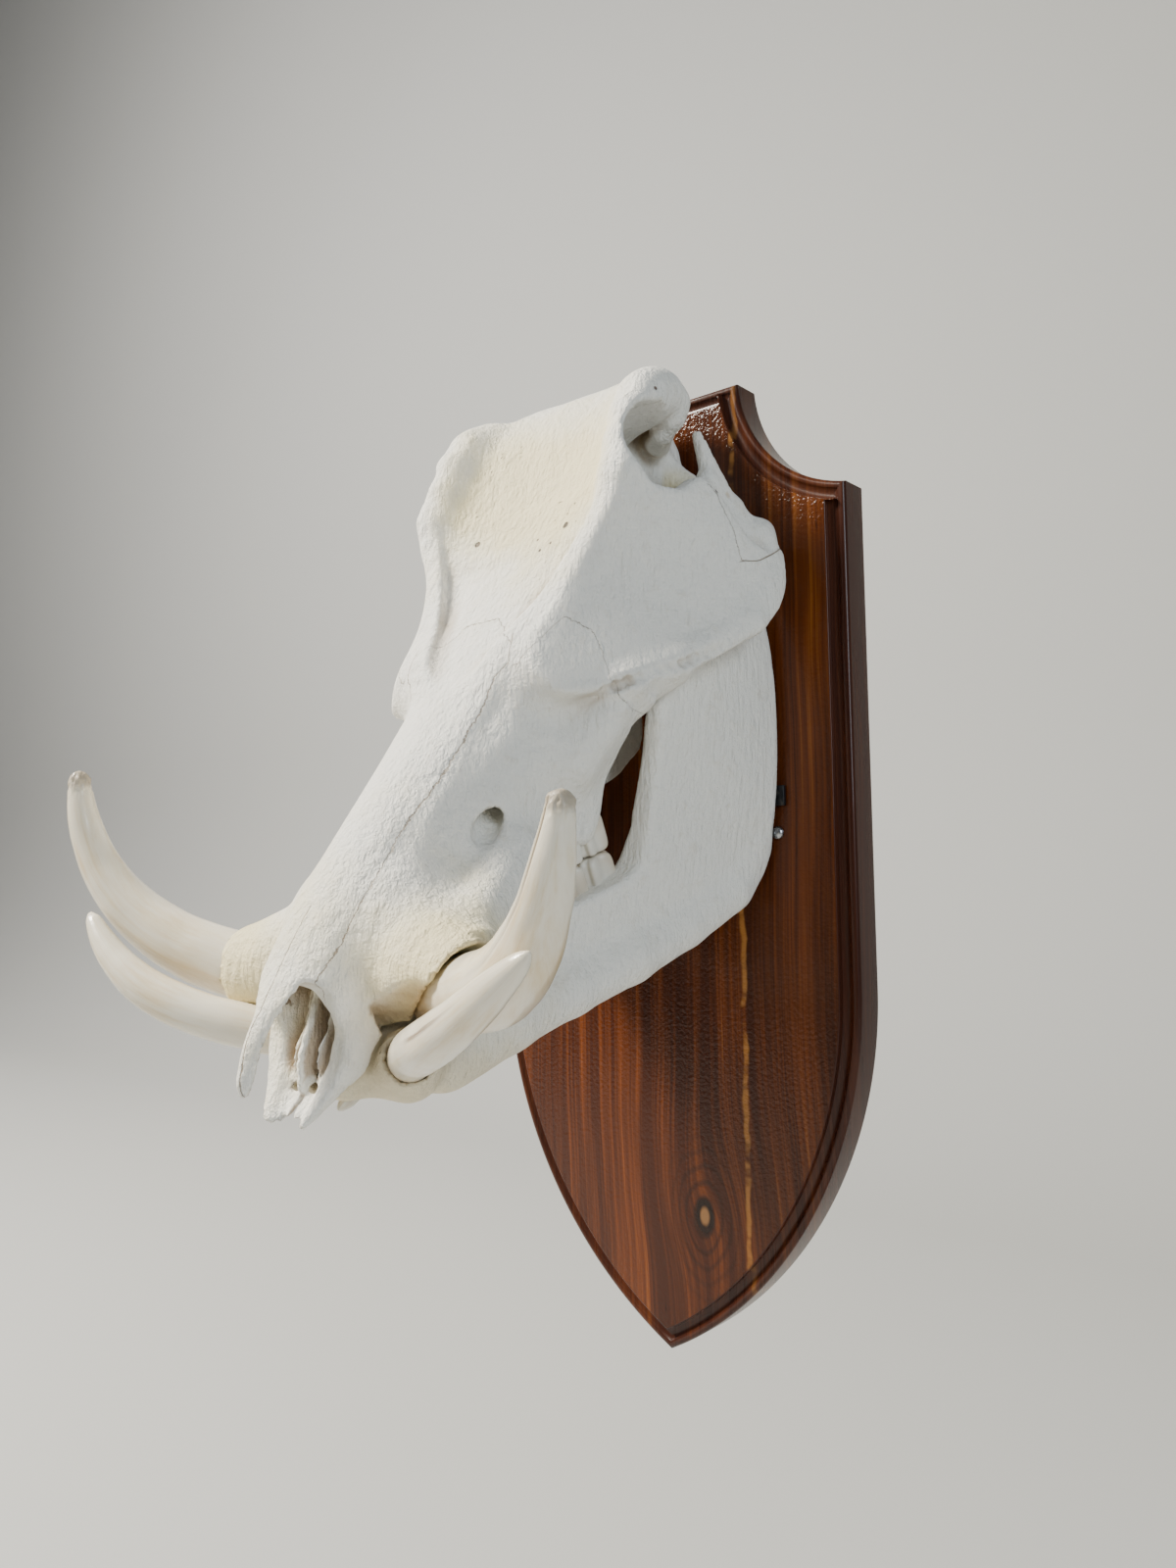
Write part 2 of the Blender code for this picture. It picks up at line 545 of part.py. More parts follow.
def tooth_row(lengths, upper, grow=0.0):
    """Points and faces of one row of cheek teeth, waisted between each tooth and the next."""
    back, front = np.array(BITE_BACK, float), np.array(BITE_FRONT, float)
    along = (front - back) / np.linalg.norm(front - back)
    up = np.cross(along, (1, 0, 0))
    up /= np.linalg.norm(up)
    if up[2] < 0:
        up = -up
    if not upper:
        up = -up
    side = np.cross(along, up)
    edges = np.concatenate([[0], np.cumsum(lengths)]).astype(float)
    stops = [(-grow, 0.86), (edges[0] + 1.5, 1.0)]
    for edge in edges[1:-1]:
        stops += [(edge - 1.6, 1.0), (edge, 0.74), (edge + 1.6, 1.0)]
    stops += [(edges[-1] - 1.5, 0.95), (edges[-1] + grow, 0.8)]
    points = []
    for place, width in stops:
        wide = TOOTH_HALF_WIDTH * width * (1 - 0.25 * place / edges[-1]) + grow
        middle = back + along * place
        low, top = BITE_GAP / 2 - grow, CROWN_HEIGHT + ROOT_DEPTH + grow
        for out, rise in ((-0.8, low), (0.8, low + 0.5), (1.0, low + 4), (0.9, top), (-0.9, top), (-1.0, low + 4)):
            points.append(middle + side * wide * out + up * rise)
    count = 6
    faces = [tuple(range(count)), tuple(range(len(points) - count, len(points)))]
    for k in range(len(stops) - 1):
        for j in range(count):
            a, b = k * count + j, k * count + (j + 1) % count
            faces.append((a, b, b + count, a + count))
    return np.array(points), faces


def add_teeth(name, lengths, upper, right, finish, grow=0.0):
    points, faces = tooth_row(lengths, upper, grow)
    if right:
        points = mirrored(points)
    return add_mesh(name, room_place(points), faces, finish)


def add_incisor(name, right, finish, grow=0.0):
    stops = np.array(INCISOR, float)
    points, faces = swept(stops[:, :3], stops[:, 3], 8, grow)
    if right:
        points = mirrored(points)
    return add_mesh(name, room_place(points), faces, finish)


def cut(obj, cutter):
    """Cuts the cutter's shape from the object and keeps the cutter out of sight."""
    cutter.hide_render = True
    cutter.display_type = "WIRE"
    step = obj.modifiers.new("Cut " + cutter.name, "BOOLEAN")
    step.operation = "DIFFERENCE"
    step.solver = "EXACT"
    step.object = cutter


def arc(centre, radius, start, end, count):
    """Points along an arc, from the start angle to the end angle."""
    angles = np.linspace(start, end, count)
    return [(centre[0] + radius * math.cos(t), centre[1] + radius * math.sin(t)) for t in angles]


def shield_half():
    """Right half of the shield's outline, from the bottom point to the top middle."""
    centre = (SHIELD_HALF_WIDTH - POINT_ARC_RADIUS, POINT_ARC_TOP)
    start = -math.acos(-centre[0] / POINT_ARC_RADIUS)
    points = arc(centre, POINT_ARC_RADIUS, start, 0, 13)
    cx, cz = SHOULDER_ARC_CENTRE
    low = math.atan2(SHOULDER_HEIGHT - cz, SHIELD_HALF_WIDTH - cx)
    high = -math.pi + math.asin((cz - SHIELD_HEIGHT) / SHOULDER_ARC_RADIUS)
    points += arc(SHOULDER_ARC_CENTRE, SHOULDER_ARC_RADIUS, low, high, 9)
    return points


def inset(points, by):
    """An outline moved inwards, with sharp corners kept sharp."""
    points = np.array(points)
    before, after = np.roll(points, 1, axis=0), np.roll(points, -1, axis=0)
    ways = [points - before, after - points]
    normals = [np.stack([-w[:, 1], w[:, 0]], axis=1) / np.linalg.norm(w, axis=1)[:, None] for w in ways]
    middle = normals[0] + normals[1]
    return points + by * 2 * middle / (middle ** 2).sum(axis=1)[:, None]


def add_shield(finish):
    """The board: flat back, square sides, a rounded bead, a cove and a raised flat field."""
    right = shield_half()
    right[0] = (0.0, right[0][1])
    left = [(-x, z) for x, z in right[:0:-1]]
    outline = np.array(right + left) - (0, SHIELD_HEIGHT / 2)
    steps = [(0, 0), (0, EDGE_THICK - 0.0022), (0.0008, EDGE_THICK - 0.0006), (0.0024, EDGE_THICK),
             (0.0042, EDGE_THICK - 0.0008), (0.0074, EDGE_THICK - 0.0002),
             (MOULDING_WIDTH - 0.0012, EDGE_THICK + 0.0010), (MOULDING_WIDTH - 0.0010, FIELD_THICK - 0.0004),
             (MOULDING_WIDTH, FIELD_THICK)]
    points = []
    for by, depth in steps:
        points += [(x, -depth, z) for x, z in inset(outline, by)]
    count = len(outline)
    faces = [tuple(range(count)), tuple(range(len(points) - count, len(points)))]
    for k in range(len(steps) - 1):
        for j in range(count):
            a, b = k * count + j, k * count + (j + 1) % count
            faces.append((a, b, b + count, a + count))
    return add_mesh("shield", points, faces, finish)


def add_round_bar(name, start, end, radius, sides, finish):
    """A round bar between two places in the room."""
    way = Vector(end) - Vector(start)
    made = bmesh.new()
    bmesh.ops.create_cone(made, cap_ends=True, segments=sides, radius1=radius, radius2=radius, depth=way.length)
    mesh = bpy.data.meshes.new(name)
    made.to_mesh(mesh)
    made.free()
    mesh.materials.append(finish)
    obj = bpy.data.objects.new(name, mesh)
    bpy.context.scene.collection.objects.link(obj)
    obj.location = (Vector(start) + Vector(end)) / 2
    obj.rotation_euler = way.to_track_quat("Z", "Y").to_euler()
    return obj


def add_block(name, low, high, finish):
    """A plain block between two corners."""
    made = bmesh.new()
    bmesh.ops.create_cube(made, size=1)
    size = np.subtract(high, low)
    bmesh.ops.scale(made, vec=size, verts=made.verts)
    bmesh.ops.translate(made, vec=np.add(low, high) / 2, verts=made.verts)
    mesh = bpy.data.meshes.new(name)
    made.to_mesh(mesh)
    made.free()
    mesh.materials.append(finish)
    obj = bpy.data.objects.new(name, mesh)
    bpy.context.scene.collection.objects.link(obj)
    return obj


def add_fixings(side, sign, finish):
    """The small tab and the screw on the board behind each corner of the jaw."""
    base = -FIELD_THICK - FACE_GAP
    middle = sign * TAB_SIDE
    half = TAB_SIZE[0] / 2
    low = (middle - half, base - TAB_SIZE[1], TAB_HEIGHT - TAB_SIZE[2] / 2)
    high = (middle + half, base, TAB_HEIGHT + TAB_SIZE[2] / 2)
    add_block("jaw_tab_" + side, low, high, finish)
    x, z = sign * SCREW_PLACE[0], SCREW_PLACE[1]
    add_round_bar("jaw_screw_" + side, (x, base, z), (x, base - SCREW_LENGTH, z), SCREW_RADIUS, 12, finish)


def main():
    for obj in list(bpy.data.objects):
        bpy.data.objects.remove(obj)
    bone = material("bone", (0.80, 0.76, 0.66), 0.62)
    ivory = material("ivory", (0.82, 0.72, 0.50), 0.25)
    enamel = material("enamel", (0.85, 0.82, 0.74), 0.35)
    wood = material("varnished_wood", (0.13, 0.035, 0.012), 0.22)
    steel = material("dark_steel", (0.10, 0.10, 0.11), 0.4, 0.9)

    add_shield(wood)
    cranium = add_bone("cranium", cranium_field, (111, -30, 432, -126, 54), CRANIUM_TRIANGLES, bone)
    jaw = add_bone("mandible", jaw_field, (90, 75, 414, -177, -18), JAW_TRIANGLES, bone)

    for side, right, upper, lower in (("left", False, UPPER_TUSK_LEFT, LOWER_TUSK_LEFT),
                                      ("right", True, UPPER_TUSK_RIGHT, LOWER_TUSK_RIGHT)):
        add_tusk("upper_tusk_" + side, upper, UPPER_TUSK_RADII, right, ivory)
        cut(cranium, add_tusk("upper_socket_" + side, upper, UPPER_TUSK_RADII, right, ivory, SOCKET_GAP))
        add_tusk("lower_tusk_" + side, lower, LOWER_TUSK_RADII, right, ivory)
        cut(jaw, add_tusk("lower_socket_" + side, lower, LOWER_TUSK_RADII, right, ivory, SOCKET_GAP))
        add_teeth("upper_cheek_teeth_" + side, UPPER_TEETH, True, right, enamel)
        upper_room = add_teeth("upper_teeth_room_" + side, UPPER_TEETH, True, right, enamel, SOCKET_GAP)
        add_teeth("lower_cheek_teeth_" + side, LOWER_TEETH, False, right, enamel)
        lower_room = add_teeth("lower_teeth_room_" + side, LOWER_TEETH, False, right, enamel, SOCKET_GAP)
        for bone_object in (cranium, jaw):
            cut(bone_object, upper_room)
            cut(bone_object, lower_room)
        add_incisor("lower_incisor_" + side, right, enamel)
        cut(jaw, add_incisor("incisor_socket_" + side, right, enamel, SOCKET_GAP))
        add_fixings(side, -1 if right else 1, steel)

    front = (0.0, -FIELD_THICK - FACE_GAP, STANDOFF_HEIGHT)
    add_round_bar("skull_standoff", front, STANDOFF_END, STANDOFF_RADIUS, 16, steel)


main()
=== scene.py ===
# %% [markdown]
# # A warthog skull on a wooden shield
#
# The object is a cleaned warthog skull with its jaw and its four tusks. It is fixed, face
# out, to a varnished board cut as a shield. The board hangs flat on a wall, and the snout
# hangs forwards and down from it.
#
# Bone has hardly one flat face or straight edge, so it isn't built from boxes. It is
# described by fields, which are functions that are negative inside the bone, and the
# surface is taken where they cross zero. Tusks, teeth and mouldings follow paths, so
# Geometry Nodes make those. The board is the one made thing, and it follows a drawing.
#
# All sizes are in metres with +Z up, unless a name says millimetres. The origin is the
# middle of the board's flat back.

import itertools
import math

import bmesh
import bpy
import numpy as np
from mathutils import Matrix, Vector


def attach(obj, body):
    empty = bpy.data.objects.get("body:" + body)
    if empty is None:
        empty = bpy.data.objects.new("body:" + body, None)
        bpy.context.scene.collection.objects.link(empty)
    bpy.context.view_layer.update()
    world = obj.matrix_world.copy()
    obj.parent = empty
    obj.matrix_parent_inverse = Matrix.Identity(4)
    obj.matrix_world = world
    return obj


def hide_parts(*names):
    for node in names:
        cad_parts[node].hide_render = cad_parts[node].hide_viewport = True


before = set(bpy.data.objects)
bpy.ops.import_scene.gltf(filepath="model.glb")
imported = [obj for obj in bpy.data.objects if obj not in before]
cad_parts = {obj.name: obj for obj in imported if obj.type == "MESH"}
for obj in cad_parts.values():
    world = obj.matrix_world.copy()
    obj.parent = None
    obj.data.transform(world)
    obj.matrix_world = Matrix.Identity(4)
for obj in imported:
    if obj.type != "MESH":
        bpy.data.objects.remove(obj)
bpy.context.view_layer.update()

# %% [markdown]
# ## The skull's own frame
#
# A skull is easier to describe along its own axes than along those of the room. Here `a` is
# the distance from the middle plane, `s` runs from the brow down to the snout and `v`
# stands out from the face, all in millimetres. One function turns these into the room.

# %% Skull frame
MM = 0.001
SKULL_ORIGIN = np.array([0.0, -0.040, 0.269])
SNOUT_LEAN = math.radians(34.1)
SNOUT_WAY = np.array([0, -math.sin(SNOUT_LEAN), -math.cos(SNOUT_LEAN)])
FACE_WAY = np.array([0, -math.cos(SNOUT_LEAN), math.sin(SNOUT_LEAN)])


def room_place(points):
    """Skull frame, millimetres, to the room, metres."""
    points = np.asarray(points, float) * MM
    side = points[:, :1] * np.array([1.0, 0, 0])
    return SKULL_ORIGIN + side + points[:, 1:2] * SNOUT_WAY + points[:, 2:] * FACE_WAY


print("the tip of the nose is at", room_place([(0, 423, 0)])[0].round(3))

# %% [markdown]
# ## Fields
#
# A sphere, a rod and a sheet each have a simple distance field. Bones grow into each other
# with fillets, and a smooth minimum of two fields makes such a fillet. A smooth maximum
# with a field turned inside out carves a hollow in the same soft way.

# %% Field helpers
def blend_min(one, two, soft):
    """Union of two fields with a fillet about as wide as soft."""
    mix = np.clip(0.5 + 0.5 * (two - one) / soft, 0, 1)
    return two + (one - two) * mix - soft * mix * (1 - mix)


def blend_max(one, two, soft):
    """Overlap of two fields, with a rounded edge."""
    return -blend_min(-one, -two, soft)


def curve(stations, at):
    """A smooth curve through (place, value) stations that never overshoots them."""
    places, values = np.array(stations, float).T
    gaps = np.diff(places)
    steps = np.diff(values) / gaps
    slopes = np.concatenate([steps[:1], np.zeros(len(steps) - 1), steps[-1:]])
    before, after = steps[:-1], steps[1:]
    mean = (before * gaps[1:] + after * gaps[:-1]) / (gaps[1:] + gaps[:-1])
    most = 3 * np.minimum(np.abs(before), np.abs(after))
    same_way = before * after > 0
    slopes[1:-1] = np.where(same_way, np.sign(mean) * np.minimum(np.abs(mean), most), 0)
    at = np.clip(at, places[0], places[-1])
    k = np.clip(np.searchsorted(places, at, side="right") - 1, 0, len(gaps) - 1)
    t = (at - places[k]) / gaps[k]
    rise = t * t * (3 - 2 * t)
    start = t * (1 - t) ** 2 * gaps[k] * slopes[k]
    end = t * t * (t - 1) * gaps[k] * slopes[k + 1]
    return values[k] * (1 - rise) + values[k + 1] * rise + start + end


def egg(a, s, v, centre, radii):
    """Field of an ellipsoid."""
    p = [(q - c) / r for q, c, r in zip((a, s, v), centre, radii)]
    near = np.sqrt(p[0] ** 2 + p[1] ** 2 + p[2] ** 2)
    slope = np.sqrt(sum((q / r) ** 2 for q, r in zip(p, radii)))
    return near * (near - 1) / np.maximum(slope, 1e-6)


def rod(a, s, v, stops, soft=0.0):
    """Field of a round rod through stops of (a, s, v, radius)."""
    field = None
    for start, end in zip(stops[:-1], stops[1:]):
        way = np.subtract(end[:3], start[:3])
        along = (a - start[0]) * way[0] + (s - start[1]) * way[1] + (v - start[2]) * way[2]
        t = np.clip(along / (way @ way), 0, 1)
        off = [q - c - t * w for q, c, w in zip((a, s, v), start, way)]
        piece = np.sqrt(off[0] ** 2 + off[1] ** 2 + off[2] ** 2)
        piece = piece - start[3] - t * (end[3] - start[3])
        if field is None:
            field = piece
        elif soft:
            field = blend_min(field, piece, soft)
        else:
            field = np.minimum(field, piece)
    return field


def rounded(points, steps=4):
    """A closed outline through the points, as a smooth curve."""
    points = np.array(points, float)
    out = []
    for k in range(len(points)):
        p, q, r, u = (points[(k + j) % len(points)] for j in (-1, 0, 1, 2))
        for t in np.arange(steps) / steps:
            bend = (2 * p - 5 * q + 4 * r - u) * t * t + (3 * q - p - 3 * r + u) * t ** 3
            out.append(0.5 * (2 * q + (r - p) * t + bend))
    return out


def inside_outline(s, v, points):
    """Distance to a rounded outline in the s, v plane, negative inside it."""
    ring = rounded(points)
    s, v = np.broadcast_arrays(s, v)
    nearest = np.full(s.shape, np.inf)
    inside = np.zeros(s.shape, bool)
    for (s0, v0), (s1, v1) in zip(ring, ring[1:] + ring[:1]):
        ds, dv = s1 - s0, v1 - v0
        t = np.clip(((s - s0) * ds + (v - v0) * dv) / (ds * ds + dv * dv), 0, 1)
        nearest = np.minimum(nearest, (s - s0 - t * ds) ** 2 + (v - v0 - t * dv) ** 2)
        if v0 != v1:
            inside ^= ((v0 > v) != (v1 > v)) & (s < s0 + (v - v0) * ds / dv)
    return np.where(inside, -1, 1) * np.sqrt(nearest)


def between(s, low, high, soft):
    """A field that is negative where s is between low and high."""
    return blend_max(low - s, s - high, soft)


print("a rod of radius 5 reads", rod(0.0, 0.0, 0.0, [(0, -1, 0, 5), (0, 1, 0, 5)]),
      "on its own axis")

# %% [markdown]
# ## The cranium
#
# The measures below were read along the skull: how high the forehead and nose stand, how
# wide they are, and where the cheek bone's ridge and crest run. Reading a table of
# stations is how a boat's hull is lofted, and a skull is lofted in the same way. The cheek
# bone is a curved sheet, so it gets an outline of its own and a thickness.

# %% Stations along the cranium
# Roof of the skull along s: height of the middle line, how far the edge stands above it,
# and half width at that edge
ROOF = [(-10, -28), (5, -20), (17, -10), (40, 11), (60, 18), (80, 17), (100, 12), (120, 8),
        (137, 5), (160, 3), (190, 2), (222, 3), (260, 7), (300, 11), (350, 13), (386, 10),
        (406, 8.5), (423, 3)]
EDGE_RISE = [(0, 0), (30, 1), (60, 4), (84, 12), (105, 17), (126, 14), (142, 7), (160, 0),
             (190, -6), (222, -9), (300, -8), (423, -6)]
ROOF_HALF = [(10, 34), (30, 34), (48, 38), (62, 54), (84, 62), (105, 66), (126, 65),
             (142, 60), (160, 53), (185, 43), (216, 34), (240, 28), (262, 25), (300, 23),
             (350, 22), (378, 22), (386, 17), (394, 11), (404, 8.5), (415, 7), (424, 5.5)]
# Upper edge of the prong below the nose window
PRONG_EDGE = [(370, 1), (379, -1), (388, -12), (396, -17), (406, -20), (420, -22)]
# Cheek side of the upper jaw, its lower border, and the lower border of the skull's core
MAXILLA_HALF = [(100, 30), (160, 36), (215, 45), (240, 44), (270, 39), (300, 35), (330, 33),
                (360, 29), (385, 25), (400, 20), (412, 15), (420, 9)]
MAXILLA_FLOOR = [(100, -26), (150, -32), (195, -43), (221, -56), (233, -66), (245, -74),
                 (258, -78), (270, -67), (300, -50), (330, -42), (360, -38), (390, -33),
                 (410, -28), (420, -24)]
CORE_FLOOR = [(60, -60), (90, -74), (130, -80), (200, -84), (230, -80), (262, -70), (300, -50)]
# The cheek bone is a sheet between its upper ridge and its lower crest
RIDGE_SIDE = [(60, 70), (84, 70), (105, 69), (126, 67), (142, 61), (160, 54), (185, 46), (240, 38)]
RIDGE_RISE = [(60, 30), (84, 36), (105, 33), (126, 22), (142, 12), (160, 5), (185, 3), (240, 5)]
CREST_SIDE = [(60, 88), (90, 92), (118, 97), (150, 95), (170, 89), (190, 82), (217, 66), (250, 46)]
CREST_RISE = [(60, -60), (90, -63), (132, -76), (150, -70), (170, -60), (190, -48), (217, -28),
              (250, -14)]
CHEEK_BULGE = 8.0
CHEEK_HALF_THICK = [(80, 3.0), (110, 4.5), (200, 5.5), (230, 8)]
CHEEK_OUTLINE = [(126, 22), (125, 8), (118, -4), (106, -9), (105, -20), (112, -44), (106, -60),
                 (101, -64), (106, -69), (130, -75), (158, -64), (182, -51), (201, -36),
                 (217, -25), (228, -10), (215, 4), (185, 5), (142, 14)]
TEMPLE_OUTLINE = [(78, -2), (83, -5), (89, -9.5), (96, -14), (112, -16), (124, -40), (112, -62),
                  (99, -63),
                  (90, -57), (95, -40), (86, -17)]
TEMPLE_HALF_THICK = 3.0
TEMPLE_SET_BACK = 7.5
# The thin wing of bone behind the palate
WING_OUTLINE = [(158, -72), (166, -90), (182, -101), (196, -98), (208, -94), (220, -84),
                (214, -66), (180, -62)]
# Lower border of the jaw, the rest of its outline, and its outer side
JAW_BORDER = [(84, -70), (105, -84), (142, -114), (182, -142), (210, -161), (225, -165),
              (247, -159), (274, -145), (306, -124), (343, -94), (381, -66), (398, -44), (404, -36)]
JAW_TOP = [(405, -28), (385, -31), (365, -38), (340, -47), (316, -61), (282, -85), (266, -95),
           (254, -96), (232, -82), (215, -70), (202, -59), (187, -52), (170, -47), (150, -52),
           (128, -66), (112, -74), (98, -70), (90, -64)]
JAW_SIDE = [(84, 58), (124, 77), (160, 79), (200, 75), (218, 70), (247, 62), (275, 52),
            (306, 41), (330, 33), (365, 26), (404, 17)]
JAW_LEAN = 0.095
JAW_HALF_THICK = [(84, 5), (110, 4), (200, 5), (230, 6), (262, 9), (300, 12), (350, 14), (404, 8)]

print(len(ROOF), "stations along the roof and", len(CREST_SIDE), "along the cheek bone's crest")

# %% [markdown]
# The tusks' paths are needed before the bone, because the bone has their sockets. Each is
# a cubic curve from four control points, with its radius given along it.

# %% Paths of the tusks
# Tusks: four control points of the middle curve (side, s, v) and radii along it
UPPER_TUSK_LEFT = [(38, 358, -37), (67, 359, -26), (140, 389, 11), (145, 328, 47)]
UPPER_TUSK_RIGHT = [(38, 358, -37), (67, 359, -26), (140, 379, 16), (144, 310, 63)]
LOWER_TUSK_LEFT = [(26, 385, -45), (48, 383, -23), (87, 405, 3), (138, 372, 26)]
LOWER_TUSK_RIGHT = [(26, 385, -45), (48, 380, -21), (85, 407, 1), (128, 364, 29)]
UPPER_TUSK_RADII = [(0, 14), (0.3, 15), (0.5, 13.5), (0.75, 9.5), (0.95, 5.5), (1, 4)]
LOWER_TUSK_RADII = [(0, 9), (0.3, 9.2), (0.6, 8.8), (0.85, 6.5), (0.97, 4), (1, 2)]
# In millimetres: the gap round a root in its socket, and the gaps that the cranium keeps
# from the jaw and from the lower tusks. Last, where a root starts as a share of the path
SOCKET_GAP = 0.5
JAW_GAP = 2.2
TUSK_GAP = 2.0
TUSK_START = -0.14


def bezier(control, t):
    """Points of a cubic curve from its four control points."""
    p, q, r, u = np.array(control, float)
    t = np.asarray(t, float)[:, None]
    return (1 - t) ** 3 * p + 3 * (1 - t) ** 2 * t * q + 3 * (1 - t) * t * t * r + t ** 3 * u


def tusk_field(a, s, v, control, radii, reach=1.0):
    """Field of a tusk, from its hidden root to a share of its length."""
    t = np.linspace(TUSK_START, reach, 10)
    return rod(a, s, v, np.column_stack([bezier(control, t), curve(radii, t)]))


print("upper tusk tips at", UPPER_TUSK_LEFT[-1], "and", UPPER_TUSK_RIGHT[-1],
      "in the skull's frame")

# %% [markdown]
# ## Fields of the cranium
#
# Each function below is one bone or one hollow of the skull. The first ones are joined
# with fillets, then the orbit, the nose and the palate are cut out, and last the thin
# pieces that would be lost in a fillet are added: the brow's end, the plates in the nose
# and the cheek bone.

# %% Cranium
def face(a, s, v):
    """The long face: forehead, nose and upper jaw."""
    half = curve(ROOF_HALF, s)
    share = np.minimum(a / half, 1)
    roof = v - curve(ROOF, s) - curve(EDGE_RISE, s) * share ** 2
    down = np.clip((curve(ROOF, s) - v) / 34, 0, 1)
    wall = half + (curve(MAXILLA_HALF, s) - half) * down * down * (3 - 2 * down)
    field = blend_max(roof, 0.94 * (a - wall), 10)
    field = blend_max(field, curve(MAXILLA_FLOOR, s) - v, 9)
    return blend_max(field, between(s, 122, 424, 3), 8)


def brow_roof(a, s, v):
    """The roof slab between and behind the brows."""
    half = curve(ROOF_HALF, s)
    top = curve(ROOF, s) + curve(EDGE_RISE, s) * np.minimum(a / half, 1) ** 2
    field = blend_max(v - top, top - 19 - v, 8)
    field = blend_max(field, a - half, 12)
    return blend_max(field, between(s, 22, 150, 4), 6)


def braincase(a, s, v):
    """The rounded case behind the brows and the solid core below the forehead."""
    case = egg(a, s, v, (0, 70, -18), (36, 44, 33))
    core = blend_max(blend_max(a - 23, v, 8), curve(CORE_FLOOR, s) - v, 8)
    core = blend_max(core, between(s, 70, 300, 8), 8)
    return blend_min(case, core, 10)


def back_of_skull(a, s, v):
    """The crest and plate that face the board, the joint knobs and the hanging spurs."""
    crest = rod(a, s, v, [(0, 25, -14, 7), (15, 27, -17, 7), (19, 32, -22, 6), (22, 43, -34, 6),
                          (27, 58, -46, 7), (34, 75, -59, 8)], 3)
    depth = s * math.sin(SNOUT_LEAN) + v * math.cos(SNOUT_LEAN)
    reach = curve([(20, 17), (40, 24), (60, 33), (80, 37), (100, 30)], s)
    plate = blend_max(np.abs(depth - 10) - 6, a - reach, 6)
    plate = blend_max(plate, between(s, 22, 92, 4), 4)
    knob = rod(a, s, v, [(14, 86, -66, 9), (19, 94, -72, 9)])
    spur = rod(a, s, v, [(38, 86, -65, 9), (42, 112, -87, 6), (42, 131, -101, 3.5)])
    bulla = rod(a, s, v, [(22, 112, -78, 11), (24, 124, -84, 9)])
    field = blend_min(crest, plate, 6)
    for more in (knob, spur, bulla):
        field = blend_min(field, more, 5)
    return field


def temple_root(a, s, v):
    """The shelf that carries the jaw joint, with the dipped crest behind the orbit."""
    crest = rod(a, s, v, [(22, 56, -22, 9), (44, 72, -36, 6), (60, 85, -31, 5.5),
                          (76, 98, -20, 5)], 4)
    shelf = rod(a, s, v, [(34, 80, -50, 11), (60, 92, -54, 10), (84, 100, -54, 8)], 4)
    web = rod(a, s, v, [(36, 70, -38, 8), (54, 82, -42, 8), (78, 96, -38, 6)], 4)
    return blend_min(blend_min(crest, shelf, 7), web, 7)


def brow(a, s, v):
    """The thick rim over the orbit, which curls back and down behind it."""
    return rod(a, s, v, [(58, 134, 8, 8), (59, 122, 15, 9), (58, 108, 19, 9.5), (57, 92, 22, 10),
                         (56, 78, 21, 11), (54, 66, 15, 11), (55, 60, 7, 8.5)], 5)


def brow_hook(a, s, v):
    """The end of the brow, which curls down behind the orbit, and the thin wall it grows from."""
    hook = rod(a, s, v, [(57, 72, 20, 10), (57, 65, 12, 9), (58, 63, 4.5, 7), (58, 68, 0, 5)], 4)
    strut = rod(a, s, v, [(57, 71, 1, 4.5), (50, 72, -3, 5), (42, 68, -9, 6), (34, 60, -14, 8)], 4)
    return blend_min(hook, strut, 3)


def cheek(a, s, v):
    """The broad cheek bone, the spiked temple bone behind it and the ruffled crest below."""
    ridge_rise, crest_rise = curve(RIDGE_RISE, s), curve(CREST_RISE, s)
    ridge_side, crest_side = curve(RIDGE_SIDE, s), curve(CREST_SIDE, s)
    t = (v - crest_rise) / (ridge_rise - crest_rise)
    outer = crest_side + (ridge_side - crest_side) * t
    outer = outer + CHEEK_BULGE * np.clip(t * (1 - t), 0, 0.25)
    thick = curve(CHEEK_HALF_THICK, s)
    plate = 0.9 * np.abs(a - outer + thick) - thick
    plate = blend_max(plate, inside_outline(s, v, CHEEK_OUTLINE), 3)
    temple = 0.9 * np.abs(a - outer + TEMPLE_SET_BACK) - TEMPLE_HALF_THICK
    temple = blend_max(temple, inside_outline(s, v, TEMPLE_OUTLINE), 2.5)
    lobe = rod(a, s, v, [(84, 95, -57, 7), (88, 103, -60, 6)])
    crest = rod(a, s, v, [(88, 120, -68, 6), (88, 145, -66, 6), (76, 186, -45, 6),
                          (64, 209, -30, 5)], 4)
    fold = rod(a, s, v, [(74, 186, -49, 6), (61, 205, -43, 8), (47, 224, -47, 8)], 4)
    upper_fold = rod(a, s, v, [(66, 206, -34, 6), (55, 223, -39, 9), (46, 240, -42, 8)])
    fold = blend_min(fold, upper_fold, 5)
    fold = fold + 0.8 * np.sin(s * 0.9 + a * 0.6 - v * 0.35) * np.clip((228 - s) / 20, 0, 1)
    field = blend_min(blend_min(plate, blend_min(temple, lobe, 3), 3), crest, 6)
    return blend_min(field, fold, 6)


def tusk_socket(a, s, v):
    """The flared bone collar that holds an upper tusk, and the swelling behind it."""
    collar = rod(a, s, v, [(20, 338, -18, 20), (42, 354, -24, 21), (64, 359, -24, 20.5)], 5)
    swelling = rod(a, s, v, [(36, 290, -40, 10), (44, 330, -30, 12), (50, 350, -24, 14)], 5)
    return blend_min(collar, swelling, 10)


def snout_prong(a, s, v):
    """The bone below the nose opening, which ends in a blunt prong."""
    return rod(a, s, v, [(20, 365, -24, 12), (16, 392, -22, 9), (9, 416, -20, 6),
                         (8, 420, -20, 5)], 4)


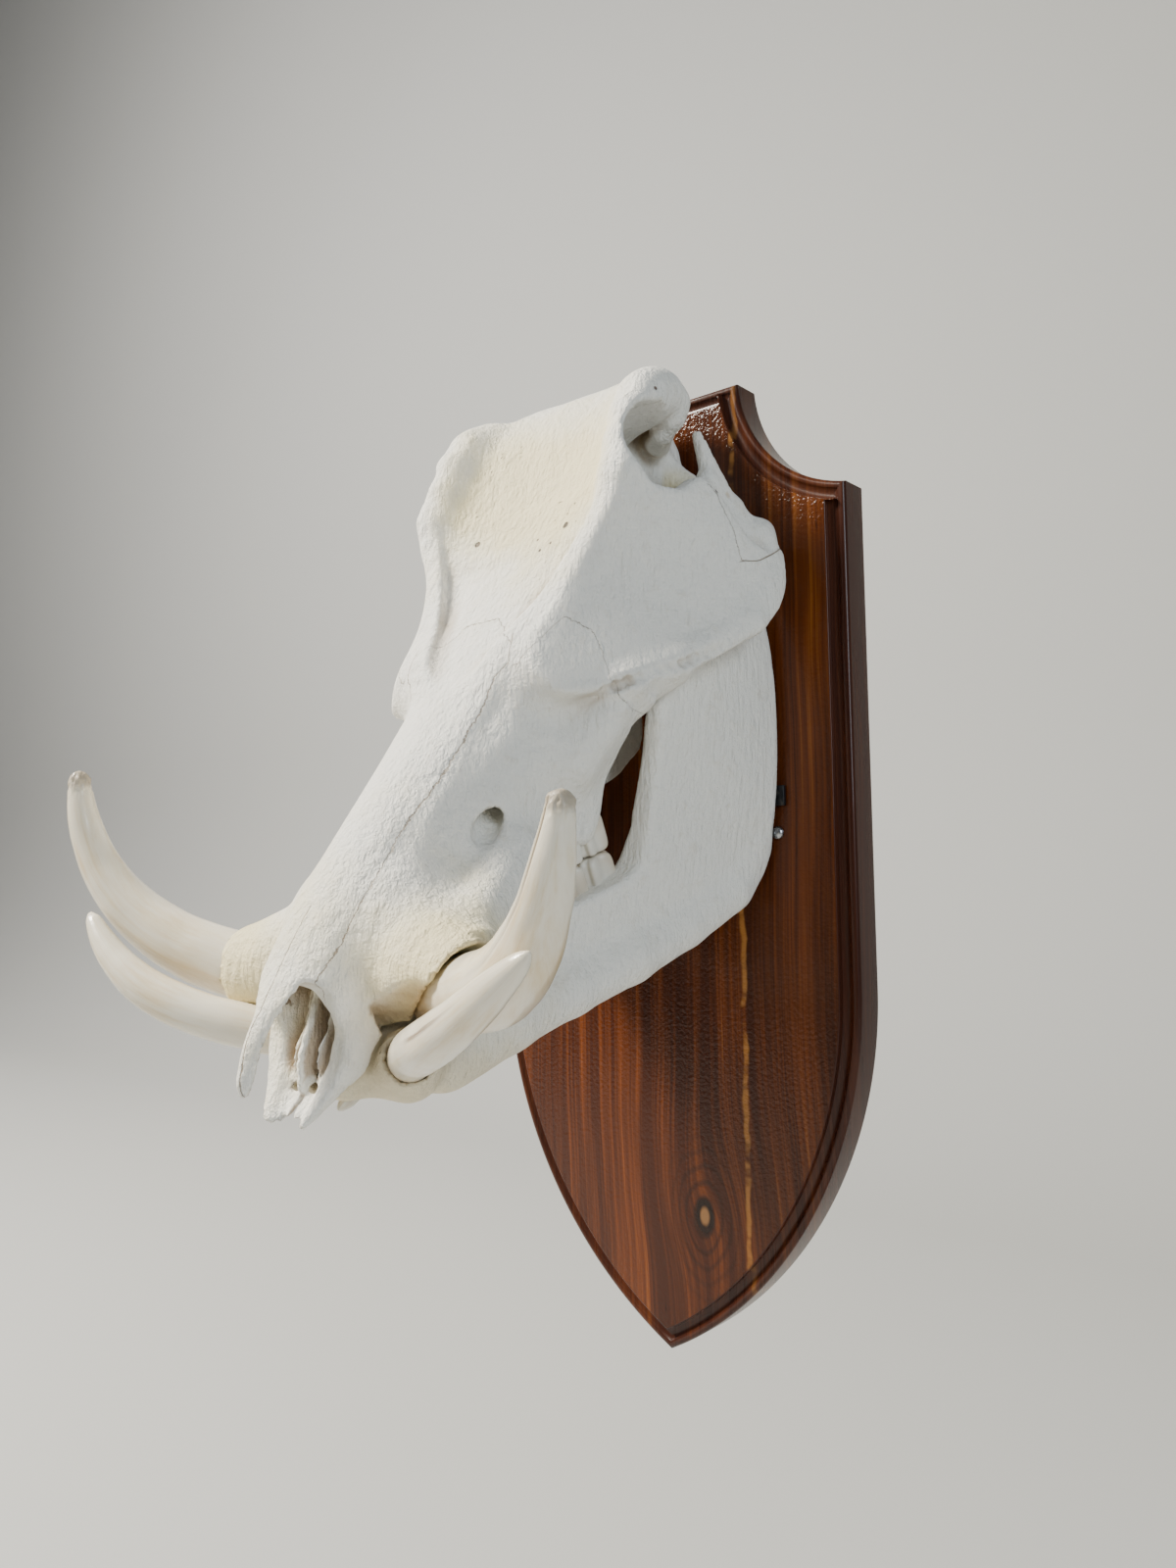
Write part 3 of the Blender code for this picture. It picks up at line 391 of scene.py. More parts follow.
def nose_opening(a, s, v):
    """The nose passage, and the window on each side between the nasal bones and the prongs."""
    passage = rod(a, s, v, [(0, 320, -8, 10), (0, 365, -10, 12), (4, 384, -12, 12.5),
                            (5, 398, -15, 9),
                            (5, 410, -18, 6.5), (5, 430, -20, 5.5)], 3)
    nasal_thick = curve([(378, 3), (395, 4), (408, 5), (423, 6)], s)
    window = blend_max(curve(PRONG_EDGE, s) - v, v - curve(ROOF, s) + nasal_thick, 3)
    window = blend_max(window, 378 - s, 3)
    slit = blend_max(blend_max(a - 1.3, 396 - s, 1), v + 10, 1)
    return blend_min(blend_min(passage, window, 2), slit, 1)


def nose_septum(a, s, v):
    """The thin septum inside the nose, and the thin scroll of bone beside it."""
    septum_top = curve([(320, 6), (352, 0), (384, -11), (404, -18), (412, -25)], s)
    septum = blend_max(a - 1.1, v - septum_top, 1)
    scroll_top = curve([(320, 2), (360, -6), (384, -15), (402, -21), (406, -26)], s)
    scroll = blend_max(np.abs(a - 6.5) - 1.0, v - scroll_top, 1)
    plates = np.maximum(np.minimum(septum, scroll), np.abs(s - 366) - 44)
    return np.maximum(plates, np.abs(v + 8) - 19)


def carve_skull(field, a, s, v):
    """Cuts the orbit, temple hollow, nose opening, nerve hole, palate and nape hole."""
    orbit = rod(a, s, v, [(84, 104, 18, 22), (67, 100, 7, 20), (48, 95, -5, 18)], 4)
    field = blend_max(field, -orbit, 3)
    field = blend_max(field, -egg(a, s, v, (58, 70, -14), (22, 16, 20)), 4)
    field = blend_max(field, -nose_opening(a, s, v), 1.5)
    nerve = rod(a, s, v, [(46, 303, -14, 5.6), (37, 293, -20, 5.6), (28, 274, -27, 5),
                          (20, 250, -32, 5)])
    field = blend_max(field, -nerve, 1.5)
    palate = rod(a, s, v, [(0, 110, -94, 14), (0, 190, -102, 16), (0, 240, -98, 16),
                           (0, 280, -80, 15),
                           (0, 330, -60, 14), (0, 380, -49, 11)])
    field = blend_max(field, -palate, 5)
    nape_hole = rod(a, s, v, [(0, 56, -67, 10), (0, 84, -26, 10)])
    return blend_max(field, -nape_hole, 2)


def cranium_field(a, s, v):
    """The whole cranium on one side, before its sockets are cut."""
    field = blend_min(face(a, s, v), brow_roof(a, s, v), 6)
    field = blend_min(field, braincase(a, s, v), 8)
    field = blend_min(field, back_of_skull(a, s, v), 6)
    field = blend_min(field, temple_root(a, s, v), 6)
    field = blend_min(field, brow(a, s, v), 9)
    field = blend_min(field, tusk_socket(a, s, v), 12)
    field = blend_min(field, snout_prong(a, s, v), 6)
    field = carve_skull(field, a, s, v)
    field = blend_min(field, brow_hook(a, s, v), 4)
    field = np.minimum(field, nose_septum(a, s, v))
    field = blend_min(field, cheek(a, s, v), curve([(130, 4), (175, 12), (215, 20)], s))
    crease = rod(a, s, v, [(62, 218, -24, 1.5), (66, 214, -27, 2.8), (74, 206, -31, 3),
                           (82, 191, -42, 3),
                           (89, 171, -55, 2.8), (95, 157, -62, 1.5)])
    crease = crease + 0.5 - 0.6 * np.sin(s * 1.3 + v * 0.4)
    thumb = egg(a, s, v, (55, 84, 37), (11, 9, 5))
    field = blend_max(blend_max(field, -crease, 1.5), -thumb, 2)
    bite = rod(a, s, v, [(34, 258, -100, 10), (27, 310, -65, 10)])
    field = blend_max(field, -bite, 2)
    wing = blend_max(np.abs(a - 18) - 2.0, inside_outline(s, v, WING_OUTLINE), 2)
    field = blend_min(field, wing, 4)
    field = np.maximum(field, TUSK_GAP - tusk_field(a, s, v, LOWER_TUSK_LEFT, LOWER_TUSK_RADII))
    return np.maximum(field, JAW_GAP - jaw_field(a, s, v))


on_the_nose = face(*np.array([[0.0], [300.0], [11.0]]))
print("the roof of the nose reads", on_the_nose.round(2), "where its table puts it")

# %% [markdown]
# ## Field of the jaw
#
# The jaw is a bent plate on each side, thick along its lower rim. The two meet in the
# chin, which is one block with a trough in its top. Room is kept above it for the bite.

# %% Jaw
def jaw_field(a, s, v):
    """The jaw on one side: plate, rim, chin, the trough in it and the empty front socket."""
    border = curve(JAW_BORDER, s)
    outer = curve(JAW_SIDE, s) - JAW_LEAN * np.clip(v - border, 0, 120)
    thick = curve(JAW_HALF_THICK, s)
    shape = inside_outline(s, v, JAW_BORDER + JAW_TOP)
    field = blend_max(np.abs(a - outer + thick) - thick, shape, 4)
    field = blend_min(field, rod(a, s, v, [(50, 94, -76, 6.5), (68, 94, -76, 6.5)]), 5)
    rim = rod(a, s, v, [(64, 210, -154, 6), (60, 234, -156, 7), (50, 262, -142, 9),
                        (42, 290, -124, 11),
                        (32, 318, -104, 12), (26, 345, -82, 14), (22, 372, -62, 15)], 4)
    field = blend_min(field, rim, 8)
    chin_half = curve([(335, 22), (360, 27), (385, 27), (398, 18), (404, 12)], s)
    chin_top = curve([(335, -62), (365, -48), (390, -36), (404, -31)], s)
    chin = blend_max(blend_max(a - chin_half, border - v, 6), v - chin_top, 5)
    chin = blend_max(chin, between(s, 340, 404, 4), 5)
    field = blend_min(field, chin, 8)
    socket_wall = rod(a, s, v, [(16, 380, -50, 12), (27, 386, -44, 13.5), (32, 385, -39, 12.5)])
    field = blend_min(field, socket_wall, 7)
    field = blend_max(field, -egg(a, s, v, (0, 365, -30), (11, 38, 12)), 4)
    bite = rod(a, s, v, [(35, 236, -90, 10), (34, 247, -82, 10), (27, 303, -45, 10)])
    field = blend_max(field, -bite, 2)
    lost_tooth = rod(a, s, v, [(16, 394, -38, 3.2), (12, 388, -47, 3)])
    return blend_max(field, -lost_tooth, 1)


print("inside a jaw plate the field reads",
      jaw_field(*np.array([[74.0], [160.0], [-90.0]])).round(2))

# %% [markdown]
# ## Sockets
#
# The tusks' own fields cut their sockets, a little wider than the tusks. The left upper
# collar is broken, and that is the one cut which isn't the same on both sides.

# %% Sockets
def cranium_bone(a, s, v):
    socket = tusk_field(a, s, v, UPPER_TUSK_LEFT, UPPER_TUSK_RADII, 0.5)
    return blend_max(cranium_field(a, s, v), SOCKET_GAP - socket, 0.8)


def jaw_bone(a, s, v):
    socket = tusk_field(a, s, v, LOWER_TUSK_LEFT, LOWER_TUSK_RADII, 0.5)
    return blend_max(jaw_field(a, s, v), SOCKET_GAP * 0.5 - socket, 0.3)


def broken_collar(x, s, v):
    """Where the left upper tusk's collar has worn back and thins to a ragged edge. It cuts."""
    turn = np.arctan2(v + 30, s - 352)
    ragged = 2.2 * np.sin(turn * 4 + 0.6) + 0.9 * np.sin(turn * 11) + 0.3 * np.sin(turn * 29 + 1)
    behind = (413 + 0.8 * (v + 25) - x - s - ragged) * 0.6
    tusk = tusk_field(x, s, v, UPPER_TUSK_LEFT, UPPER_TUSK_RADII, 0.4)
    deep = np.maximum(behind, 0)
    thin = (tusk - 3.4 - 0.25 * deep - 0.07 * deep ** 2) * 0.7
    mouth = (2.2 - 0.3 * deep - tusk) * 0.8
    near = rod(x, s, v, [(38, 358, -32, 27), (76, 362, -22, 27)])
    below = (335 - s) * 0.5 + (v + 4) * 0.5
    return np.minimum(np.minimum(np.maximum(np.maximum(-behind, thin), mouth), -near), -below)


print("half width of the cheek bones", curve(CREST_SIDE, np.array([118.0]))[0], "mm")

# %% [markdown]
# ## From a field to a surface
#
# A grid of samples turns a field into a mesh. Marching cubes would do it, but leaves
# slivers that shade badly. Surface nets put one point in each crossed cell, at the mean of
# its crossings, and join neighbours with four-sided faces, which stay even. Most of the
# grid is far from bone, so a coarse grid decides where the fine one has to be worked out.

# %% Sample and net
COARSE = 4
REACH = 2.3


def sample(field, box, step):
    """Field values on a fine grid. Away from the surface they keep the coarse grid's value."""
    axes = [np.arange(low, high + COARSE * step, COARSE * step) for low, high in box]
    rough = field(axes[0][:, None, None], axes[1][None, :, None], axes[2][None, None, :])
    rough = np.broadcast_to(rough, [len(axis) for axis in axes])
    fine = rough.astype(np.float32)
    for way in range(3):
        fine = np.repeat(fine, COARSE, axis=way)
    near = np.argwhere(np.abs(rough) < REACH * COARSE * step)
    offsets = np.array(list(itertools.product(range(COARSE), repeat=3)))
    index = (near[:, None, :] * COARSE + offsets).reshape(-1, 3)
    low = np.array([axis[0] for axis in axes]) - COARSE / 2 * step
    place = low + index * step
    fine[tuple(index.T)] = field(*place.T)
    return fine, low


def tidy_cells(values, step):
    """Fills corners until no cell has two separate parts in or out, so the net can't pinch."""
    corners = list(itertools.product((0, 1), repeat=3))
    bad = []
    for code in range(256):
        for side in (0, 1):
            left = {c for k, c in enumerate(corners) if (code >> k & 1) == side}
            reached = {min(left)} if left else set()
            while True:
                more = {c for c in left - reached
                        if any(sum(np.abs(np.subtract(c, d))) == 1 for d in reached)}
                if not more:
                    break
                reached |= more
            if reached != left:
                bad.append(code)
    for _ in range(60):
        inside = (values < 0).astype(np.uint8)
        code = sum(inside[i:len(inside) - 1 + i, j:inside.shape[1] - 1 + j,
                          k:inside.shape[2] - 1 + k] << n
                   for n, (i, j, k) in enumerate(corners))
        cell = np.argwhere(np.isin(code, bad))
        if not len(cell):
            break
        around = cell[:, None, :] + np.array(corners)
        found = values[tuple(around.reshape(-1, 3).T)]
        near = np.where(found < 0, np.inf, found)
        least = around[np.arange(len(cell)), near.reshape(-1, 8).argmin(axis=1)]
        values[tuple(least.T)] = -0.05 * step
    return values


def net(values, low, step):
    """Points and four-sided faces of the zero surface, one point for each crossed cell."""
    inside = values < 0
    ends = (slice(None, -1), slice(1, None))
    corners = list(itertools.product((0, 1), repeat=3))
    count = sum(inside[ends[i], ends[j], ends[k]].astype(np.int8) for i, j, k in corners)
    crossed = (count > 0) & (count < 8)
    cell = np.argwhere(crossed)
    number = np.full(crossed.shape, -1)
    number[crossed] = np.arange(len(cell))
    total = np.zeros((len(cell), 3))
    hits = np.zeros(len(cell))
    faces = []
    for axis in range(3):
        step_on = np.eye(3, dtype=int)[axis]
        others = [k for k in range(3) if k != axis]
        for p, q in itertools.product((0, 1), repeat=2):
            corner = np.zeros(3, int)
            corner[others] = p, q
            one = values[tuple((cell + corner).T)].astype(float)
            two = values[tuple((cell + corner + step_on).T)].astype(float)
            cross = (one < 0) != (two < 0)
            share = one[cross] / (one[cross] - two[cross])
            total[cross] += corner + share[:, None] * step_on
            hits[cross] += 1
        first = np.take(inside, range(values.shape[axis] - 1), axis)
        second = np.take(inside, range(1, values.shape[axis]), axis)
        start = np.argwhere(first != second)
        start = start[(start[:, others] > 0).all(axis=1)]
        start = start[(start[:, others] < np.array(values.shape)[others] - 1).all(axis=1)]
        leaves = first[tuple(start.T)]
        ring = []
        for p, q in ((1, 1), (0, 1), (0, 0), (1, 0)):
            back = np.zeros(3, int)
            back[others] = p, q
            ring.append(number[tuple((start - back).T)])
        quad = np.stack(ring, axis=1)
        flip = leaves if axis != 1 else ~leaves
        quad[~flip] = quad[~flip][:, ::-1]
        faces.append(quad)
    points = low + step * (cell + total / hits[:, None])
    return points, np.concatenate(faces)


def largest_piece(points, faces):
    """The largest connected piece of a mesh, without crumbs beside it."""
    label = np.arange(len(points))
    while True:
        lowest = label[faces].min(axis=1)
        new = label.copy()
        for corner in range(faces.shape[1]):
            np.minimum.at(new, faces[:, corner], lowest)
        new = new[new]
        if (new == label).all():
            break
        label = new
    main = np.bincount(label[faces[:, 0]]).argmax()
    kept = faces[label[faces[:, 0]] == main]
    used, index = np.unique(kept, return_inverse=True)
    return points[used], index.reshape(kept.shape)


def slopes(field, points, reach):
    """The field and its gradient at each point."""
    x, s, v = points.T
    here = field(x, s, v)
    ahead = [field(x + reach, s, v), field(x, s + reach, v), field(x, s, v + reach)]
    return here, np.stack([(value - here) / reach for value in ahead], axis=1)


def polish(field, points, faces, step, rounds):
    """Evens out the mesh, then puts each point back on the surface."""
    ends = np.concatenate([faces[:, [k, (k + 1) % 4]] for k in range(4)])
    for _ in range(rounds):
        total = np.stack([np.bincount(ends[:, 0], points[ends[:, 1], k], len(points))
                          + np.bincount(ends[:, 1], points[ends[:, 0], k], len(points))
                          for k in range(3)], axis=1)
        many = np.bincount(ends.ravel(), minlength=len(points))[:, None]
        points = 0.4 * points + 0.6 * total / many
        value, slope = slopes(field, points, 0.15)
        size = np.maximum((slope ** 2).sum(axis=1), 0.05)
        move = -slope * (value / size)[:, None]
        length = np.linalg.norm(move, axis=1)[:, None]
        points = points + move * np.minimum(1, 0.8 * step / np.maximum(length, 1e-9))
    return points


def mirror_halves(half, low, step):
    """Values over the whole width from those on one side of the middle plane."""
    first = int(round(-low[0] / step))
    half = half[first:]
    whole = np.concatenate([half[:0:-1], half])
    return whole, np.array([-(len(half) - 1) * step, low[1], low[2]])


def bone_surface(field, box, step, cut=None, rounds=2):
    """Surface of a field that is alike on both sides, with a cut that isn't."""
    values, low = sample(field, box, step)
    values, low = mirror_halves(values, low, step)

    def whole(x, s, v):
        both = field(np.abs(x), s, v)
        return both if cut is None else blend_max(both, cut(x, s, v), 0.6)

    if cut is not None:
        x, s, v = (start + step * np.arange(count) for start, count in zip(low, values.shape))
        values = blend_max(values, cut(x[:, None, None], s[None, :, None], v[None, None, :]), 0.6)
    values = tidy_cells(values, step)
    points, faces = net(values, low, step)
    points, faces = largest_piece(points, faces)
    return polish(whole, points, faces, step, rounds), faces


ball, low = sample(lambda x, y, z: np.sqrt(x * x + y * y + z * z) - 9, ((-12, 12),) * 3, 1.0)
print("a ball 18 mm across gives a net of", len(net(ball, low, 1.0)[0]), "points")


# %% [markdown]
# A finished piece has its place in its mesh, its object at the origin and one material.

# %% Make an object
def add_mesh(name, points, faces, finish):
    mesh = bpy.data.meshes.new(name)
    mesh.from_pydata(np.asarray(points).tolist(), [],
                     [tuple(face) for face in np.asarray(faces).tolist()]
                     if isinstance(faces, np.ndarray) else faces)
    mesh.validate()
    mesh.shade_smooth()
    mesh.materials.append(finish)
    obj = bpy.data.objects.new(name, mesh)
    bpy.context.scene.collection.objects.link(obj)
    return obj


def outward(obj):
    """Turns a closed mesh's faces outwards."""
    made = bmesh.new()
    made.from_mesh(obj.data)
    bmesh.ops.recalc_face_normals(made, faces=made.faces)
    if made.calc_volume(signed=True) < 0:
        bmesh.ops.reverse_faces(made, faces=made.faces)
    made.to_mesh(obj.data)
    made.free()
    return obj


def keep(obj, slot, *nodes):
    """Hangs a finished piece on the root body and hides the parts it stands for. Its slot, the name
    of its finish, is not used.
    """
    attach(obj, "root")
    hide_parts(*nodes)
    print(obj.name, "has", len(obj.data.polygons), "faces")
    return obj


# %% [markdown]
# ## Shader maths
#
# Every finish here is a sum of patterns. Written as nodes and links, such a sum is hard to
# read, so one small class wraps a socket and lets it be added, multiplied and compared
# like a number. Each operation adds the Math node that it stands for.

# %% Node helper
class Value:
    """A number socket that can be used in expressions."""

    def __init__(self, nodes, socket):
        self.nodes, self.socket = nodes, socket

    def math(self, operation, other=None):
        sockets = {0: self} if other is None else {0: self, 1: other}
        return self.nodes.node("ShaderNodeMath", {"operation": operation}, sockets)

    def __add__(self, other):
        return self.math("ADD", other)

    __radd__ = __add__

    def __mul__(self, other):
        return self.math("MULTIPLY", other)

    __rmul__ = __mul__

    def __sub__(self, other):
        return self.math("SUBTRACT", other)

    def __rsub__(self, other):
        return self * -1 + other

    def __truediv__(self, other):
        return self.math("DIVIDE", other)

    def __pow__(self, other):
        return self.math("POWER", other)

    def size(self):
        return self.math("ABSOLUTE")

    def band(self, low, high):
        """0 below low, 1 above high, smooth between. It falls instead where low is above high."""
        flip = low > high
        node = {"interpolation_type": "SMOOTHSTEP"}
        sockets = {"Value": self, "From Min": min(low, high), "From Max": max(low, high)}
        if flip:
            sockets.update({"To Min": 1.0, "To Max": 0.0})
        return self.nodes.node("ShaderNodeMapRange", node, sockets)


class Nodes:
    """A node tree whose nodes are added by expressions."""

    def node(self, kind, settings=None, sockets=None, output=0):
        made = self.tree.nodes.new(kind)
        for key, value in (settings or {}).items():
            setattr(made, key, value)
        for key, value in (sockets or {}).items():
            self.feed(made.inputs[key], value)
        return Value(self, made.outputs[output])

    def feed(self, socket, value):
        if isinstance(value, Value):
            self.tree.links.new(value.socket, socket)
        else:
            socket.default_value = value


class Finish(Nodes):
    """A material."""

    def __init__(self, name, roughness=0.5, **settings):
        self.material = bpy.data.materials.new(name)
        self.material.use_nodes = True
        self.tree = self.material.node_tree
        self.shader = self.tree.nodes["Principled BSDF"]
        self.shader.inputs["Roughness"].default_value = roughness
        for socket, value in settings.items():
            self.shader.inputs[socket.replace("_", " ")].default_value = value

    def place(self):
        return self.node("ShaderNodeTexCoord", output="Object")

    def stretch(self, scale, turn=(0, 0, 0)):
        sockets = {"Vector": self.place(), "Scale": scale, "Rotation": turn}
        return self.node("ShaderNodeMapping", None, sockets)

    def axis(self, name, vector=None):
        return self.node("ShaderNodeSeparateXYZ", None, {0: vector or self.place()}, name)

    def attribute(self, name, output="Fac"):
        return self.node("ShaderNodeAttribute", {"attribute_name": name}, None, output)

    def noise(self, scale, detail=4.0, rough=0.5, vector=None):
        sockets = {"Scale": scale, "Detail": detail, "Roughness": rough,
                   "Vector": vector or self.place()}
        return self.node("ShaderNodeTexNoise", None, sockets)

    def mix(self, share, one, two):
        settings = {"data_type": "RGBA", "clamp_factor": True}
        sockets = {0: share, 6: one if isinstance(one, Value) else (*one, 1),
                   7: two if isinstance(two, Value) else (*two, 1)}
        return self.node("ShaderNodeMix", settings, sockets, 2)

    def bump(self, height, distance, strength=1.0):
        sockets = {"Height": height, "Distance": distance, "Strength": strength}
        return self.node("ShaderNodeBump", None, sockets)

    def set(self, **values):
        for name, value in values.items():
            self.feed(self.shader.inputs[name.replace("_", " ")], value)
        return self.material


print("a finish can use", *(name for name in vars(Finish) if not name.startswith("_")))



# %% [markdown]
# ## Finishes
#
# Cleaned bone is dry and chalky. It is cream where grease and age have stayed in it, on
# the forehead and the snout, and whiter and cooler on the cheeks and the jaw. It has fine
# pores, small holes for vessels and jagged hairlines where two bones of the skull meet. Its
# hollows get painted shade, a darker brown. The hairlines follow curves that are drawn on the
# bone's own axes. Each vertex keeps its distance to each hairline, with a sign, so the
# line stays thin and sharp between vertices, and noise in the shader makes it jagged.

# %% Bone
def bone_finish(name, seams, cream, spots, hollow_shade_strength):
    """Dry bone with its own cream colour, hairlines and spots, and painted shade in its hollows."""
    m = Finish(name, 0.6, Specular_IOR_Level=0.35)
    place = m.place()
    mottle = m.noise(22.0, 4.0, 0.6)
    fine = m.noise(160.0, 3.0, 0.6)
    pores = m.noise(900.0, 2.0, 0.5)
    hollow = m.attribute("hollow")
    warm = (m.attribute("cream") + (mottle - 0.5) * 1.1).band(0.15, 0.95)
    colour = m.mix(warm, (0.89, 0.87, 0.80), cream)
    colour = m.mix((fine - 0.5).band(0.05, 0.25) * 0.25, colour, (0.64, 0.56, 0.43))
    # Painted shade: where the bone lies in a hollow, its colour is darkened towards brown.
    painted_hollow_shade = hollow.band(0.25, 0.95) * (mottle.band(0.3, 0.62) * 0.5 + 0.5)
    colour = m.mix(painted_hollow_shade * hollow_shade_strength, colour, (0.36, 0.24, 0.12))
    jag = (m.noise(330.0, 3.0, 0.75) - 0.5) * 5.2 + (m.noise(90.0, 1.0, 0.5) - 0.5) * 4.0
    line = None
    for seam, (jagged, wide) in seams.items():
        spot = m.attribute(seam, "Vector")
        near = (m.axis("X", spot) + jag * jagged).size().band(wide, wide * 0.3)
        near = near * m.axis("Y", spot).band(1.5, 0.0)
        line = near if line is None else line.math("MAXIMUM", near)
    fibre = m.noise(1.0, 4.0, 0.6, m.stretch((420.0, 420.0, 70.0), (SNOUT_LEAN, 0.0, 0.0)))
    height = (pores - 0.5) * 0.5 + (fine - 0.5) * 1.7
    height = height + (mottle - 0.5) * 2.0 + (fibre - 0.5) * 1.8
    if line is not None:
        colour = m.mix(line * (mottle.band(0.25, 0.6) * 0.5 + 0.5) * 0.85, colour,
                       (0.30, 0.20, 0.11))
        height = height - line * 0.8
    pits = m.node("ShaderNodeTexVoronoi", {"feature": "F1"},
                  {"Vector": place, "Scale": 210.0}).size()
    pit = pits.band(0.16, 0.05) * m.noise(30.0, 1.0, 0.5).band(0.52, 0.62)
    pit = pit * m.attribute("cream").band(0.5, 0.9)
    colour = m.mix(pit * 0.7, colour, (0.34, 0.25, 0.15))
    height = height - pit * 1.2
    for spot, radius, tint in spots:
        centre = tuple(float(c) for c in room_place([spot])[0])
        ends = {0: place, 1: centre}
        away = m.node("ShaderNodeVectorMath", {"operation": "DISTANCE"}, ends, 1) / MM
        dot = (away + (fine - 0.5) * radius).band(radius * 1.25, radius * 0.7)
        colour = m.mix(dot * 0.9, colour, tint)
        height = height - dot * min(1.5, 1.5 / radius)
    return m.set(Base_Color=colour, Roughness=0.5 + fine * 0.22, Normal=m.bump(height, 0.0009, 1.0))


# Each hairline: how jagged it is and how wide, in millimetres
SEAMS = {"seam_nasal": (0.5, 0.3), "seam_frontal": (1.0, 0.26), "seam_lacrimal": (1.0, 0.26),
         "seam_middle": (0.35, 0.28), "seam_temple": (0.9, 0.3), "crack": (0.15, 0.42)}
# Small holes and stains on the cranium: place, radius and colour
SPOTS = [((29, 140.5, 8), 1.7, (0.05, 0.03, 0.02)), ((-29, 138.5, 8), 1.4, (0.10, 0.06, 0.03)),
         ((12, 144, 6), 0.6, (0.12, 0.05, 0.03)), ((22, 148.5, 6), 0.6, (0.10, 0.05, 0.03)),
         ((16, 151, 5), 0.7, (0.08, 0.05, 0.03)), ((84.5, 106, -19), 0.9, (0.10, 0.08, 0.06)),
         ((67.5, 80.5, 25.4), 0.8, (0.15, 0.08, 0.05)), ((85, 98, -28), 2.8, (0.62, 0.47, 0.27))]
# The last number is how strong the painted shade in the hollows is.
bone = bone_finish("bone", SEAMS, (0.86, 0.76, 0.47), SPOTS, 0.8)
jaw_finish = bone_finish("jaw_bone", {}, (0.83, 0.73, 0.52), [], 0.3)
print("bone is drawn by", len(bone.node_tree.nodes), "nodes")

# %% [markdown]
# Tusk ivory is dense and glossy. Long faint streaks run with its growth, and brown dirt
# has stayed in the groove and in the worn, pitted tip.

# %% Ivory and enamel
def tooth_finish(name, pale, deep, gloss):
    m = Finish(name, gloss, Coat_Weight=0.25, Coat_Roughness=0.12)
    flow = m.attribute("flow", "Vector")
    streak = m.noise(5.0, 5.0, 0.65, flow)
    blotch = m.noise(28.0, 3.0, 0.5)
    colour = m.mix((streak * 0.7 + blotch * 0.5).band(0.5, 0.85), pale, deep)
    worn = (m.attribute("worn") + m.noise(300.0, 3.0, 0.6) * 0.6 - 0.5).band(0.25, 0.8)
    groove = m.attribute("groove") * (streak.band(0.35, 0.55) * 0.5 + 0.5)
    root = m.attribute("along").band(0.42, 0.12) * blotch.band(0.4, 0.65)
    colour = m.mix(root * 0.55, colour, (0.50, 0.33, 0.16))
    colour = m.mix(groove, colour, (0.15, 0.07, 0.025))
    colour = m.mix(worn * 0.75, colour, (0.30, 0.24, 0.17))
    rough = gloss + worn * 0.35 + streak * 0.08
    height = (streak - 0.5) * 0.5 + (m.noise(260.0, 2.0, 0.5) - 0.5) * worn
    return m.set(Base_Color=colour, Roughness=rough, Normal=m.bump(height, 0.0004, 0.5))


ivory = tooth_finish("ivory", (0.88, 0.81, 0.66), (0.76, 0.61, 0.38), 0.2)
enamel = tooth_finish("enamel", (0.80, 0.77, 0.68), (0.62, 0.50, 0.33), 0.3)
print("ivory is drawn by", len(ivory.node_tree.nodes), "nodes")

# %% [markdown]
# The board is a dark red-brown wood with long amber and gold streaks, cut along the grain.
# Low on it is a knot, and the grain flows round it. Streaks are noise stretched along the
# grain. The knot pushes the place where the noise is read sideways, so the streaks bend
# round it like water round a stone. Clear varnish lies over it and gathers in small
# ripples on the bead.

# %% Varnished wood
KNOT_X, KNOT_Z = 0.0254, -0.1775


